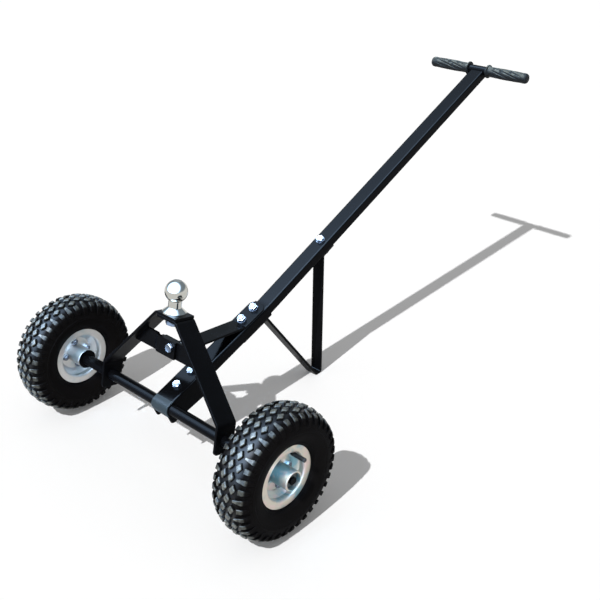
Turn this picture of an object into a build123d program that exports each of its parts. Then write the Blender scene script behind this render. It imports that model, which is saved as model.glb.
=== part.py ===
from build123d import *

import os
from math import asin, atan, cos, degrees, isclose, radians, sin, sqrt, tan

os.makedirs("parts", exist_ok=True)

# Two-wheeled trailer dolly: a bent-strap A-frame carries a hitch ball over the axle, and a long
# handle with a stand runs back from the axle. Millimetres; X runs from the wheels back to the
# handle, Y across and Z up, with the floor at Z = 0. "Near" is the -Y side, "far" the +Y side.

# Wheels
TRACK = 644.0
TYRE_RADIUS = 136.0
TYRE_WIDTH = 88.0
TYRE_WALL = 7.5
TREAD_DEPTH = 7.0
SHOULDER_DROP = 10.0
SHOULDER_INSET = 7.0
BLOCK_COUNT = 20
BLOCK_LENGTH = 24.0
BLOCK_WIDTH = 15.6
BLOCK_ROW_STEP = 9.2
ROWS_EACH_SIDE = 2
FIRST_BLOCK_AT = 90.0
LUG_LENGTH = 10.5
LUG_INSET = 8.0
LUG_STAND = 1.8
LONG_LUG = 21.0
SHORT_LUG = 14.0
INNER_TUBE_WALL = 2.5
BEAD_WIDTH = 12.0
RIM_SEAT_RADIUS = 50.8
RIM_LIP_RADIUS = 65.0
RIM_WIDTH = 58.8
RIM_SHEET = 2.2
RIM_BEND = 2.5
HUB_DIAMETER = 42.0
HUB_LENGTH = 94.0
HUB_BORE = 28.0
HUB_RECESS = 9.0
HUB_CHAMFER = 1.0
HUB_FLANGE = 4.0
BEARING_DIAMETER = 35.0
BEARING_WIDTH = 11.0
BEARING_RACE = 2.5
SHIELD_DEPTH = 0.8
RIM_BOLT = 8.0
RIM_BOLT_FLATS = 13.0
RIM_BOLT_HEAD = 5.3
RIM_NUT = 6.5
RIM_BOLT_COUNT = 4
VALVE_DIAMETER = 9.0
VALVE_THREAD = 6.0
VALVE_ANGLE = 42.0
VALVE_CAP = 13.0
VALVE_CAP_ROUND = 1.8
VALVE_THREAD_LENGTH = 8.7
VALVE_BEND = 6.0
VALVE_GAP = 1.0

# Axle
AXLE_DIAMETER = 25.0
JOURNAL_DIAMETER = 16.0
AXLE_CHAMFER = 1.0
STOP_WASHER_WIDTH = 8.5
STOP_WASHER = 3.0
RETAINING_WASHER_WIDTH = 7.0
RETAINING_WASHER = 2.0
PIN_DIAMETER = 3.2
PIN_OVERHANG = 4.5
PIN_EYE = 2.4
PIN_WIRE = 1.0

# Handle
LOWER_TILT = 20.87
UPPER_TILT = 24.43
TUBE_WIDTH = 38.0
TUBE_HEIGHT = 24.0
TUBE_WALL = 2.0
TUBE_START = 26.0
SOCKET_WALL = 3.0
SOCKET_START = 20.0
SOCKET_END = 314.0
HANDLE_BEND_RADIUS = 150.0
BEND_PAST_SOCKET = 6.0
TEE_DIAMETER = 22.0
TEE_WALL = 2.0
TEE_LENGTH = 282.0
TEE_ALONG = 883.0
TEE_RISE = 7.0
GRIP_START = 27.0
GRIP_WALL = 1.7
GRIP_BARREL = 1.0
GRIP_FLANGE = 6.0
GRIP_FLANGE_LENGTH = 4.0
GRIP_END = 2.8
GRIP_END_ROUND = 6.3

# Axle bracket
BRACKET_SHEET = 4.0
BRACKET_REAR = 108.0
CHEEK_FRONT = 30.0
CHEEK_REAR = 40.0
EAR_RADIUS = 9.0
NOSE_DROP = 8.0

# A-frame
FRAME_LEAN = 12.9
LEG_STRAP = 6.0
LEG_WIDTH = 50.0
LEG_BEND = 12.0
TAB_TOP = 200.0
TAB_CORNER = 34.0
FAR_TAB_LAP = 33.0
FOOT_SPREAD = 184.0
FOOT_TOP = 35.0
FOOT_DROP = 28.0
FOOT_CORNER = 8.0
ARM_STRAP = 6.0
ARM_LOW = 113.0
ARM_HIGH = 150.0
ARM_LAP = 25.0
JOGGLE_LENGTH = 8.0
JOGGLE_BEND = 9.0

# Hitch ball
BALL_DIAMETER = 47.6
BALL_RISE = 45.4
BALL_TOP_FLAT = 18.0
NECK_DIAMETER = 28.0
BALL_FLANGE_DIAMETER = 50.0
BALL_FLANGE = 3.0
BALL_FLANGE_CONE = 9.0
SHANK_DIAMETER = 19.0
BALL_WASHER = 3.0
BALL_WASHER_WIDTH = 6.5
BALL_NUT = 10.7
BALL_NUT_FLATS = 28.6

# Brace and stand
BRACE_STRAP = 5.0
BRACE_WIDTH = 44.0
BRACE_TAB_BEND = 3.0
BRACE_BEND = 5.0
BRACE_CORNER = 14.0
NUT_TO_BEND = 3.5
WASHER_TO_BEND = 1.5
BRACE_END = 309.0
STAND_STRAP = 6.0
STAND_WIDTH = 30.0
STAND_BEND = 6.0
STAND_FLANGE_FRONT = 225.0
STAND_FRONT_CORNER = 303.5
STAND_FOOT_BACK = 451.5
STAND_FOOT_LENGTH = 16.0
STAND_REAR_CORNER = 190.0
STAND_FLANGE_REAR = 228.0

# Fasteners
BOLT = 10.0
BOLT_FLATS = 17.0
BOLT_HEAD = 6.4
NUT = 8.0
LOCK_NUT = 10.0
WASHER = 2.0
WASHER_DIAMETER = 20.0
THREAD_PAST_NUT = 2.0
BRACKET_BOLT_FRONT = 45.0
BRACKET_BOLT_PITCH = 43.0
BRACE_BOLT_FRONT = 251.0
BRACE_BOLT_PITCH = 39.0
STAND_BOLT_AT = 209.0
CROSS_BOLT_AT = 136.0
CROSS_BOLT_ACROSS = -12.0

# Rolled edges of the flat bars
BAR_EDGE = 0.8

# Clearances
FIT = 0.2
RUNNING_FIT = 0.05
SIDE_PLAY = 0.3
BOLT_CLEARANCE = 0.2
THREAD_FIT = 0.1
DRILL_REACH = 70.0

# Sizes worked out from the values above
AXLE_RADIUS = AXLE_DIAMETER / 2
JOURNAL_RADIUS = JOURNAL_DIAMETER / 2
HUB_RADIUS = HUB_DIAMETER / 2
HUB_END = HUB_LENGTH / 2
BEARING_OUT = HUB_END - HUB_RECESS
BEARING_IN = BEARING_OUT - BEARING_WIDTH
CROWN_RADIUS = TYRE_RADIUS - TREAD_DEPTH
SHOULDER = TYRE_WIDTH / 2 - SHOULDER_INSET
SHOULDER_RADIUS = CROWN_RADIUS - SHOULDER_DROP
CROWN_ARC = (SHOULDER**2 + SHOULDER_DROP**2) / (2 * SHOULDER_DROP)
WIDEST_RADIUS = (RIM_LIP_RADIUS + SHOULDER_RADIUS) / 2
RIM_EDGE = RIM_WIDTH / 2
BEAD_HEEL = RIM_EDGE - RIM_SHEET - FIT
BEAD_TOE = BEAD_HEEL - BEAD_WIDTH
RIM_BOLT_CORNER = RIM_BOLT_FLATS / sqrt(3)
RIM_BOLT_RADIUS = HUB_RADIUS + RIM_BOLT_CORNER + SIDE_PLAY
RIM_DISH_RADIUS = RIM_BOLT_RADIUS + RIM_BOLT_CORNER + RIM_SHEET
TUBE_FLOOR_RADIUS = RIM_SEAT_RADIUS + TYRE_WALL / 2
VALVE_RADIUS = RIM_SEAT_RADIUS - RIM_SHEET - VALVE_DIAMETER / 2 - VALVE_GAP
VALVE_ELBOW = HUB_FLANGE / 2 + RIM_SHEET + VALVE_DIAMETER / 2 + VALVE_GAP
SOCKET_WIDTH = TUBE_WIDTH + 2 * (FIT + SOCKET_WALL)
SOCKET_HALF_HEIGHT = TUBE_HEIGHT / 2 + FIT + SOCKET_WALL
NOSE_INNER = AXLE_RADIUS + FIT
NOSE_OUTER = NOSE_INNER + BRACKET_SHEET
AXLE_RISE = SOCKET_HALF_HEIGHT - NOSE_INNER
PLATE_TOP = SOCKET_HALF_HEIGHT + BRACKET_SHEET
BRACE_TOP = SOCKET_HALF_HEIGHT + BRACE_STRAP
STAND_FLANGE_FACE = -SOCKET_HALF_HEIGHT - STAND_STRAP
STAND_REAR_FACE = -TUBE_HEIGHT / 2 - STAND_STRAP
BEND_ALONG = SOCKET_END + BEND_PAST_SOCKET
GRIP_RADIUS = TEE_DIAMETER / 2 + GRIP_WALL
GRIP_FLANGE_RADIUS = TEE_DIAMETER / 2 + GRIP_FLANGE
FAR_TAB_TOP = TAB_TOP + LEG_STRAP
LEG_RUN = (FOOT_SPREAD - TAB_CORNER) / (TAB_TOP - FOOT_TOP)
BALL_HEIGHT = FAR_TAB_TOP + BALL_RISE
BALL_SHANK_END = TAB_TOP - LEG_STRAP - BALL_WASHER - BALL_NUT - THREAD_PAST_NUT
BRACKET_BOLTS_AT = (BRACKET_BOLT_FRONT, BRACKET_BOLT_FRONT + BRACKET_BOLT_PITCH)
BRACE_BOLTS_AT = (BRACE_BOLT_FRONT, BRACE_BOLT_FRONT + BRACE_BOLT_PITCH)
BRACE_TAB_FLOOR = CROSS_BOLT_AT - BOLT_FLATS / 2 - NUT_TO_BEND
BRACE_BEND_ALONG = BRACE_BOLT_FRONT - WASHER_DIAMETER / 2 - WASHER_TO_BEND
NEAR = -1
FAR = 1
SIDES = ((NEAR, "near"), (FAR, "far"))


class Member:
    """Axes of a straight member in the side view: along it, and square to it."""

    def __init__(self, origin, tilt):
        self.origin = origin
        self.along = Vector(cos(radians(tilt)), 0, sin(radians(tilt)))
        self.up = Vector(-sin(radians(tilt)), 0, cos(radians(tilt)))

    def point(self, along, up):
        return self.origin + self.along * along + self.up * up

    def side(self, along, up):
        """The point as X and Z, for outlines drawn in the side view."""
        spot = self.point(along, up)
        return (spot.X, spot.Z)

    def seat(self, along, up, facing=1):
        """Plane lying on the member, facing up, or down with -1."""
        return Plane(origin=self.point(along, up), x_dir=(0, 1, 0), z_dir=self.up * facing)

    def section(self, along, up=0.0, outward=1, across=0.0):
        """Plane across the member: x runs outwards to one side and y up."""
        middle = self.point(along, up) + Vector(0, across, 0)
        return Plane(origin=middle, x_dir=(0, outward, 0), z_dir=self.along * outward)


def members(axle_centre):
    """The lower and upper handle and the A-frame, all placed from the axle."""
    lower = Member(axle_centre, LOWER_TILT)
    lower.origin = lower.point(0, -AXLE_RISE)
    upper = Member(lower.point(BEND_ALONG, 0), UPPER_TILT)
    return lower, upper, Member(axle_centre, -FRAME_LEAN)


# The overall length is centred on the origin
REACH = members(Vector(0, 0, TYRE_RADIUS))[1].point(TEE_ALONG, TEE_RISE).X + GRIP_FLANGE_RADIUS
AXLE_CENTRE = Vector((TYRE_RADIUS - REACH) / 2, 0, TYRE_RADIUS)
AXLE_LINE = Axis(AXLE_CENTRE, (0, 1, 0))
LOWER, UPPER, LEAN = members(AXLE_CENTRE)
TEE_CENTRE = UPPER.point(TEE_ALONG, TEE_RISE)


def cross_plane(centre, outward=1):
    """Plane holding a crosswise axis: x runs outwards along it and y up."""
    return Plane(origin=centre, x_dir=(0, outward, 0), z_dir=(outward, 0, 0))


def wheel_centre(outward):
    return AXLE_CENTRE + Vector(0, outward * TRACK / 2, 0)


def wheel_face(outward, offset):
    """Plane facing outwards at a distance from the wheel's middle; y runs up."""
    return Plane(
        origin=wheel_centre(outward) + Vector(0, outward * offset, 0),
        x_dir=(-outward, 0, 0),
        z_dir=(0, outward, 0),
    )


def save(piece, name):
    piece.part.label = name
    export_step(piece.part, f"parts/{name}.step")


def disc(plane, diameter, length, mode=Mode.ADD):
    with BuildSketch(plane) as outline:
        Circle(diameter / 2)
    extrude(outline.sketch, amount=length, mode=mode)


def ring(plane, diameter, bore, length):
    with BuildSketch(plane) as outline:
        Circle(diameter / 2)
        Circle(bore / 2, mode=Mode.SUBTRACT)
    extrude(outline.sketch, amount=length)


def drill(plane, diameter):
    """Round hole along the plane's normal, both ways."""
    with BuildSketch(plane) as mouth:
        Circle(diameter / 2)
    extrude(mouth.sketch, amount=DRILL_REACH, both=True, mode=Mode.SUBTRACT)


def drill_for_bolt(plane):
    drill(plane, BOLT + 2 * BOLT_CLEARANCE)


def hex_bolt(seat, diameter, flats, head, length):
    """Bolt whose head stands on the seat plane, with its shank below."""
    with BuildSketch(seat) as hexagon:
        RegularPolygon(flats / 2, 6, major_radius=False)
    extrude(hexagon.sketch, amount=head)
    disc(seat, diameter, -length)


def hex_nut(seat, diameter, flats, height):
    """Nut standing on the seat plane."""
    with BuildSketch(seat) as hexagon:
        RegularPolygon(flats / 2, 6, major_radius=False)
        Circle(diameter / 2 + THREAD_FIT, mode=Mode.SUBTRACT)
    extrude(hexagon.sketch, amount=height)


def strap(plane, points, radius, thickness, width):
    """Flat bar bent along one face; its thickness lies to the right of the path."""
    with BuildSketch(plane) as outline:
        with BuildLine():
            FilletPolyline(*points, radius=radius)
            offset(amount=thickness, side=Side.RIGHT)
        make_face()
    extrude(outline.sketch, amount=width / 2, both=True)


def round_bar_edges(bar, plane, width, thickness):
    """Rolled edges along both narrow sides of a flat bar; its cut ends stay square."""
    across = Axis(plane.origin, plane.z_dir)
    for side in (-width / 2, width / 2):
        outline = bar.edges().filter_by_position(across, side - FIT, side + FIT)
        fillet(outline.filter_by(lambda edge: not isclose(edge.length, thickness)), BAR_EDGE)


def box_tube_section(plane, width, height, wall):
    """Rolled box section; its outer corners are twice the wall."""
    with BuildSketch(plane) as outline:
        RectangleRounded(width, height, 2 * wall)
        RectangleRounded(width - 2 * wall, height - 2 * wall, wall, mode=Mode.SUBTRACT)
    return outline.sketch


# A-frame: two straps with a tab, a sloping leg and an upright foot
def leg_corner(top):
    """Distance from the middle where a tab with this top bends into its leg."""
    return TAB_CORNER - (top - TAB_TOP) * LEG_RUN


def leg_inside(height):
    """Distance from the middle of the leg's inner face at a height up the lean."""
    return leg_corner(height) - LEG_STRAP * sqrt(1 + LEG_RUN**2)


# The near tab stops under the far one, just short of the far leg's bend
NEAR_TAB_LAP = leg_corner(FAR_TAB_TOP) - LEG_BEND * tan(atan(1 / LEG_RUN) / 2) - FIT

for outward, end in SIDES:
    tab_top = FAR_TAB_TOP if outward == FAR else TAB_TOP
    tab_lap = FAR_TAB_LAP if outward == FAR else NEAR_TAB_LAP
    with BuildPart() as leg:
        strap(
            LEAN.section(0, outward=outward),
            (
                (-tab_lap, tab_top),
                (leg_corner(tab_top), tab_top),
                (FOOT_SPREAD, FOOT_TOP),
                (FOOT_SPREAD, -FOOT_DROP),
            ),
            LEG_BEND,
            LEG_STRAP,
            LEG_WIDTH,
        )
        foot_corners = leg.edges().filter_by(Axis.Y).sort_by(Axis((0, 0, 0), LEAN.up))[:2]
        fillet(foot_corners, FOOT_CORNER)
        round_bar_edges(leg, LEAN.section(0), LEG_WIDTH, LEG_STRAP)
        drill(LEAN.seat(0, tab_top), SHANK_DIAMETER + 2 * BOLT_CLEARANCE)
        foot_middle = AXLE_CENTRE + Vector(0, outward * FOOT_SPREAD, 0)
        drill(Plane(origin=foot_middle, z_dir=(0, 1, 0)), AXLE_DIAMETER + 2 * RUNNING_FIT)
    save(leg, f"aframe_{end}")

# Cross arms: flat bars from the legs that lap in the middle, the far one joggled forwards
ARM_END = (
    (-ARM_LAP, ARM_LOW),
    (leg_inside(ARM_LOW), ARM_LOW),
    (leg_inside(ARM_HIGH), ARM_HIGH),
    (-ARM_LAP, ARM_HIGH),
)

with BuildPart() as cross_arm_near:
    with BuildSketch(LEAN.section(-ARM_STRAP / 2, outward=NEAR)):
        Polygon(*ARM_END, align=None)
    extrude(amount=ARM_STRAP / 2, both=True)
    drill_for_bolt(LEAN.section(0, CROSS_BOLT_AT, across=CROSS_BOLT_ACROSS))
save(cross_arm_near, "cross_arm_near")

with BuildPart() as cross_arm_far:
    strap(
        LEAN.seat(0, (ARM_LOW + ARM_HIGH) / 2),
        (
            (-ARM_LAP, 2 * ARM_STRAP),
            (ARM_LAP + ARM_STRAP, 2 * ARM_STRAP),
            (ARM_LAP + ARM_STRAP + JOGGLE_LENGTH, ARM_STRAP),
            (leg_inside(ARM_LOW), ARM_STRAP),
        ),
        JOGGLE_BEND,
        ARM_STRAP,
        ARM_HIGH - ARM_LOW,
    )
    with BuildSketch(LEAN.section(0, outward=FAR)):
        Polygon(*ARM_END, align=None)
    extrude(amount=2 * ARM_STRAP, both=True, mode=Mode.INTERSECT)
    drill_for_bolt(LEAN.section(0, CROSS_BOLT_AT, across=CROSS_BOLT_ACROSS))
save(cross_arm_far, "cross_arm_far")

# Hitch ball: turned in one piece with its neck, flange and shank
with BuildPart() as hitch_ball:
    ball_radius = BALL_DIAMETER / 2
    neck_radius = NECK_DIAMETER / 2
    flange_radius = BALL_FLANGE_DIAMETER / 2
    neck_joint = BALL_HEIGHT - sqrt(ball_radius**2 - neck_radius**2)
    ball_top = BALL_HEIGHT + sqrt(ball_radius**2 - (BALL_TOP_FLAT / 2) ** 2)
    flange_top = FAR_TAB_TOP + BALL_FLANGE
    with BuildSketch(LEAN.section(0)):
        with BuildLine():
            Polyline(
                (BALL_TOP_FLAT / 2, ball_top),
                (0, ball_top),
                (0, BALL_SHANK_END),
                (SHANK_DIAMETER / 2, BALL_SHANK_END),
                (SHANK_DIAMETER / 2, FAR_TAB_TOP),
                (flange_radius, FAR_TAB_TOP),
                (flange_radius, flange_top),
                (neck_radius, flange_top + BALL_FLANGE_CONE),
                (neck_radius, neck_joint),
            )
            ThreePointArc(
                (neck_radius, neck_joint), (ball_radius, BALL_HEIGHT), (BALL_TOP_FLAT / 2, ball_top)
            )
        make_face()
    revolve(axis=Axis(AXLE_CENTRE, LEAN.up))
save(hitch_ball, "hitch_ball")

with BuildPart() as ball_lock_washer:
    washer_bore = SHANK_DIAMETER + 2 * BOLT_CLEARANCE
    tab_underside = LEAN.seat(0, TAB_TOP - LEG_STRAP, facing=-1)
    ring(tab_underside, washer_bore + 2 * BALL_WASHER_WIDTH, washer_bore, BALL_WASHER)
save(ball_lock_washer, "ball_lock_washer")

with BuildPart() as ball_nut:
    washer_face = LEAN.seat(0, TAB_TOP - LEG_STRAP - BALL_WASHER, facing=-1)
    hex_nut(washer_face, SHANK_DIAMETER, BALL_NUT_FLATS, BALL_NUT)
save(ball_nut, "ball_nut")

# Axle: round bar with a turned journal at each end
SHOULDER_AT = TRACK / 2 - BEARING_OUT - SIDE_PLAY
AXLE_END = TRACK / 2 + HUB_END
RETAINER_AT = TRACK / 2 + BEARING_OUT + SIDE_PLAY
PIN_AT = RETAINER_AT + RETAINING_WASHER + SIDE_PLAY + PIN_DIAMETER / 2

with BuildPart() as axle:
    with BuildSketch(cross_plane(AXLE_CENTRE)):
        with BuildLine():
            Polyline(
                (0, 0),
                (0, AXLE_RADIUS),
                (SHOULDER_AT, AXLE_RADIUS),
                (SHOULDER_AT, JOURNAL_RADIUS),
                (AXLE_END - AXLE_CHAMFER, JOURNAL_RADIUS),
                (AXLE_END, JOURNAL_RADIUS - AXLE_CHAMFER),
                (AXLE_END, 0),
                close=True,
            )
        make_face()
        mirror(about=Plane.YZ)
    revolve(axis=AXLE_LINE)
    for outward, _ in SIDES:
        pin_middle = AXLE_CENTRE + Vector(0, outward * PIN_AT, 0)
        drill(Plane(origin=pin_middle), PIN_DIAMETER + 2 * RUNNING_FIT)
save(axle, "axle")

with BuildPart() as stop_washers:
    for outward, _ in SIDES:
        stop_face = wheel_face(outward, -HUB_END - SIDE_PLAY - STOP_WASHER)
        bore = AXLE_DIAMETER + 2 * RUNNING_FIT
        ring(stop_face, bore + 2 * STOP_WASHER_WIDTH, bore, STOP_WASHER)
save(stop_washers, "stop_washers")

with BuildPart() as retaining_washers:
    for outward, _ in SIDES:
        retainer_face = wheel_face(outward, BEARING_OUT + SIDE_PLAY)
        bore = JOURNAL_DIAMETER + 2 * FIT
        ring(retainer_face, bore + 2 * RETAINING_WASHER_WIDTH, bore, RETAINING_WASHER)
save(retaining_washers, "retaining_washers")

with BuildPart() as cotter_pins:
    for outward, _ in SIDES:
        pin_bottom = AXLE_CENTRE + Vector(0, outward * PIN_AT, -JOURNAL_RADIUS - PIN_OVERHANG)
        pin_length = 2 * JOURNAL_RADIUS + PIN_OVERHANG + PIN_WIRE
        disc(Plane(origin=pin_bottom), PIN_DIAMETER, pin_length)
        with Locations(pin_bottom + Vector(0, 0, pin_length + PIN_EYE)):
            Torus(PIN_EYE, PIN_WIRE, rotation=(90, 0, 0))
save(cotter_pins, "cotter_pins")

# Axle bracket: folded sheet with a plate over the axle, a rolled nose and two cheeks
with BuildPart() as axle_bracket:
    mid_arc = cos(radians(45))
    with BuildSketch(Plane.XZ) as outside:
        with BuildLine():
            ThreePointArc(
                LOWER.side(0, PLATE_TOP),
                LOWER.side(-NOSE_OUTER * mid_arc, AXLE_RISE + NOSE_OUTER * mid_arc),
                LOWER.side(-NOSE_OUTER, AXLE_RISE),
            )
            Polyline(
                LOWER.side(-NOSE_OUTER, AXLE_RISE),
                LOWER.side(-NOSE_OUTER, -CHEEK_FRONT),
                LOWER.side(BRACKET_REAR, -CHEEK_REAR),
                LOWER.side(BRACKET_REAR, PLATE_TOP),
                LOWER.side(0, PLATE_TOP),
            )
        make_face()
    inner_half = SOCKET_WIDTH / 2 + FIT
    extrude(outside.sketch, amount=inner_half + BRACKET_SHEET, both=True)
    lower_edges = axle_bracket.edges().filter_by(Axis.Y).sort_by(Axis((0, 0, 0), LOWER.up))[:2]
    fillet(lower_edges, EAR_RADIUS)
    rim_edges = axle_bracket.edges().filter_by(Axis.Y, reverse=True)
    fold_edges = rim_edges.filter_by(
        lambda edge: (edge.center() - LOWER.origin).dot(LOWER.up) > AXLE_RISE + AXLE_RADIUS / 2
        and (edge.center() - LOWER.origin).dot(LOWER.along) < BRACKET_REAR - BRACKET_SHEET
    )
    fillet(fold_edges, BRACKET_SHEET)
    with BuildSketch(Plane.XZ) as inside:
        nose_end = AXLE_RISE - NOSE_DROP
        below = -CHEEK_REAR - DRILL_REACH
        with BuildLine():
            ThreePointArc(
                LOWER.side(0, SOCKET_HALF_HEIGHT),
                LOWER.side(-NOSE_INNER * mid_arc, AXLE_RISE + NOSE_INNER * mid_arc),
                LOWER.side(-NOSE_INNER, AXLE_RISE),
            )
            Polyline(
                LOWER.side(-NOSE_INNER, AXLE_RISE),
                LOWER.side(-NOSE_INNER, nose_end),
                LOWER.side(-DRILL_REACH, nose_end),
                LOWER.side(-DRILL_REACH, below),
                LOWER.side(BRACKET_REAR + DRILL_REACH, below),
                LOWER.side(BRACKET_REAR + DRILL_REACH, SOCKET_HALF_HEIGHT),
                LOWER.side(0, SOCKET_HALF_HEIGHT),
            )
        make_face()
    extrude(inside.sketch, amount=inner_half, both=True, mode=Mode.SUBTRACT)
    drill(Plane(origin=AXLE_CENTRE, z_dir=(0, 1, 0)), AXLE_DIAMETER + 2 * RUNNING_FIT)
    for along in BRACKET_BOLTS_AT:
        drill_for_bolt(LOWER.seat(along, PLATE_TOP))
save(axle_bracket, "axle_bracket")

# Handle: a box tube in a larger socket tube, bent slightly where it leaves the socket
with BuildPart() as handle_socket:
    socket_section = box_tube_section(
        LOWER.section(SOCKET_START), SOCKET_WIDTH, 2 * SOCKET_HALF_HEIGHT, SOCKET_WALL
    )
    extrude(socket_section, amount=SOCKET_END - SOCKET_START)
    for along in BRACKET_BOLTS_AT + BRACE_BOLTS_AT:
        drill_for_bolt(LOWER.seat(along, 0))
save(handle_socket, "handle_socket")

with BuildPart() as handle_tube:
    with BuildLine() as handle_run:
        FilletPolyline(
            LOWER.point(TUBE_START, 0),
            LOWER.point(BEND_ALONG, 0),
            UPPER.point(TEE_ALONG, 0),
            radius=HANDLE_BEND_RADIUS,
        )
    sweep(
        box_tube_section(LOWER.section(TUBE_START), TUBE_WIDTH, TUBE_HEIGHT, TUBE_WALL),
        path=handle_run.wire(),
    )
    drill(Plane(origin=TEE_CENTRE, z_dir=(0, 1, 0)), TEE_DIAMETER + 2 * RUNNING_FIT)
    for along in BRACKET_BOLTS_AT + BRACE_BOLTS_AT:
        drill_for_bolt(LOWER.seat(along, 0))
    drill_for_bolt(UPPER.seat(STAND_BOLT_AT, 0))
save(handle_tube, "handle_tube")

# Tee bar and grips
with BuildPart() as tee_bar:
    with BuildSketch(Plane(origin=TEE_CENTRE, z_dir=(0, 1, 0))):
        Circle(TEE_DIAMETER / 2)
        Circle(TEE_DIAMETER / 2 - TEE_WALL, mode=Mode.SUBTRACT)
    extrude(amount=TEE_LENGTH / 2, both=True)
save(tee_bar, "tee_bar")

for outward, end in SIDES:
    with BuildPart() as grip:
        bore_end = TEE_LENGTH / 2 + FIT
        bore_radius = TEE_DIAMETER / 2 + RUNNING_FIT
        flange_end = GRIP_START + GRIP_FLANGE_LENGTH
        grip_end = bore_end + GRIP_END
        round_start = grip_end - GRIP_END_ROUND
        end_radius = GRIP_RADIUS - GRIP_END_ROUND
        with BuildSketch(cross_plane(TEE_CENTRE, outward)):
            with BuildLine():
                Polyline(
                    (grip_end, end_radius),
                    (grip_end, 0),
                    (bore_end, 0),
                    (bore_end, bore_radius),
                    (GRIP_START, bore_radius),
                    (GRIP_START, GRIP_FLANGE_RADIUS),
                    (flange_end, GRIP_FLANGE_RADIUS),
                    (flange_end, GRIP_RADIUS),
                )
                ThreePointArc(
                    (flange_end, GRIP_RADIUS),
                    ((flange_end + round_start) / 2, GRIP_RADIUS + GRIP_BARREL),
                    (round_start, GRIP_RADIUS),
                )
                RadiusArc((round_start, GRIP_RADIUS), (grip_end, end_radius), GRIP_END_ROUND)
            make_face()
        revolve(axis=Axis(TEE_CENTRE, (0, 1, 0)))
    save(grip, f"grip_{end}")

# Brace: strap from behind the cross arms, down to the socket's top
with BuildPart() as brace:
    strap(
        Plane.XZ,
        (
            LEAN.side(BRACE_STRAP, ARM_HIGH),
            LEAN.side(BRACE_STRAP, BRACE_TAB_FLOOR),
            LOWER.side(BRACE_BEND_ALONG, BRACE_TOP),
            LOWER.side(BRACE_END, BRACE_TOP),
        ),
        (BRACE_TAB_BEND, BRACE_BEND),
        BRACE_STRAP,
        BRACE_WIDTH,
    )
    end_corners = brace.edges().filter_by(Axis((0, 0, 0), LOWER.up))
    fillet(end_corners.sort_by(Axis((0, 0, 0), LOWER.along))[-2:], BRACE_CORNER)
    round_bar_edges(brace, Plane.XZ, BRACE_WIDTH, BRACE_STRAP)
    drill_for_bolt(LEAN.section(0, CROSS_BOLT_AT, across=CROSS_BOLT_ACROSS))
    for along in BRACE_BOLTS_AT:
        drill_for_bolt(LOWER.seat(along, BRACE_TOP))
save(brace, "brace")

# Stand: strap bent to a V, with a flat foot and a flange at each end
with BuildPart() as stand:
    foot_back = AXLE_CENTRE.X + STAND_FOOT_BACK
    with BuildSketch(Plane.XZ) as stand_outline:
        with BuildLine():
            FilletPolyline(
                LOWER.side(STAND_FLANGE_FRONT, STAND_FLANGE_FACE + STAND_STRAP / 2),
                LOWER.side(STAND_FRONT_CORNER, STAND_FLANGE_FACE + STAND_STRAP / 2),
                (foot_back, STAND_STRAP / 2),
                (foot_back + STAND_FOOT_LENGTH, STAND_STRAP / 2),
                UPPER.side(STAND_REAR_CORNER, STAND_REAR_FACE + STAND_STRAP / 2),
                UPPER.side(STAND_FLANGE_REAR, STAND_REAR_FACE + STAND_STRAP / 2),
                radius=STAND_BEND,
            )
        trace(line_width=STAND_STRAP)
    extrude(stand_outline.sketch, amount=STAND_WIDTH / 2, both=True)
    round_bar_edges(stand, Plane.XZ, STAND_WIDTH, STAND_STRAP)
    for along in BRACE_BOLTS_AT:
        drill_for_bolt(LOWER.seat(along, STAND_FLANGE_FACE))
    drill_for_bolt(UPPER.seat(STAND_BOLT_AT, STAND_REAR_FACE))
save(stand, "stand")

# Bolts, washers and nuts of the frame
with BuildPart() as bracket_bolts:
    bolt_length = PLATE_TOP + SOCKET_HALF_HEIGHT + NUT + THREAD_PAST_NUT
    for along in BRACKET_BOLTS_AT:
        hex_bolt(LOWER.seat(along, PLATE_TOP), BOLT, BOLT_FLATS, BOLT_HEAD, bolt_length)
save(bracket_bolts, "bracket_bolts")

with BuildPart() as bracket_nuts:
    for along in BRACKET_BOLTS_AT:
        hex_nut(LOWER.seat(along, -SOCKET_HALF_HEIGHT, facing=-1), BOLT, BOLT_FLATS, NUT)
save(bracket_nuts, "bracket_nuts")

with BuildPart() as brace_bolts:
    bolt_length = BRACE_TOP + WASHER + LOCK_NUT + THREAD_PAST_NUT - STAND_FLANGE_FACE
    for along in BRACE_BOLTS_AT:
        under_flange = LOWER.seat(along, STAND_FLANGE_FACE, facing=-1)
        hex_bolt(under_flange, BOLT, BOLT_FLATS, BOLT_HEAD, bolt_length)
save(brace_bolts, "brace_bolts")

with BuildPart() as brace_washers:
    for along in BRACE_BOLTS_AT:
        ring(LOWER.seat(along, BRACE_TOP), WASHER_DIAMETER, BOLT + 2 * BOLT_CLEARANCE, WASHER)
save(brace_washers, "brace_washers")

with BuildPart() as brace_nuts:
    for along in BRACE_BOLTS_AT:
        hex_nut(LOWER.seat(along, BRACE_TOP + WASHER), BOLT, BOLT_FLATS, LOCK_NUT)
save(brace_nuts, "brace_nuts")

with BuildPart() as stand_bolt:
    bolt_length = TUBE_HEIGHT / 2 + WASHER - STAND_REAR_FACE + NUT + THREAD_PAST_NUT
    stand_bolt_seat = UPPER.seat(STAND_BOLT_AT, TUBE_HEIGHT / 2 + WASHER)
    hex_bolt(stand_bolt_seat, BOLT, BOLT_FLATS, BOLT_HEAD, bolt_length)
save(stand_bolt, "stand_bolt")

with BuildPart() as stand_washer:
    handle_face = UPPER.seat(STAND_BOLT_AT, TUBE_HEIGHT / 2)
    ring(handle_face, WASHER_DIAMETER, BOLT + 2 * BOLT_CLEARANCE, WASHER)
save(stand_washer, "stand_washer")

with BuildPart() as stand_nut:
    hex_nut(UPPER.seat(STAND_BOLT_AT, STAND_REAR_FACE, facing=-1), BOLT, BOLT_FLATS, NUT)
save(stand_nut, "stand_nut")

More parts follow.
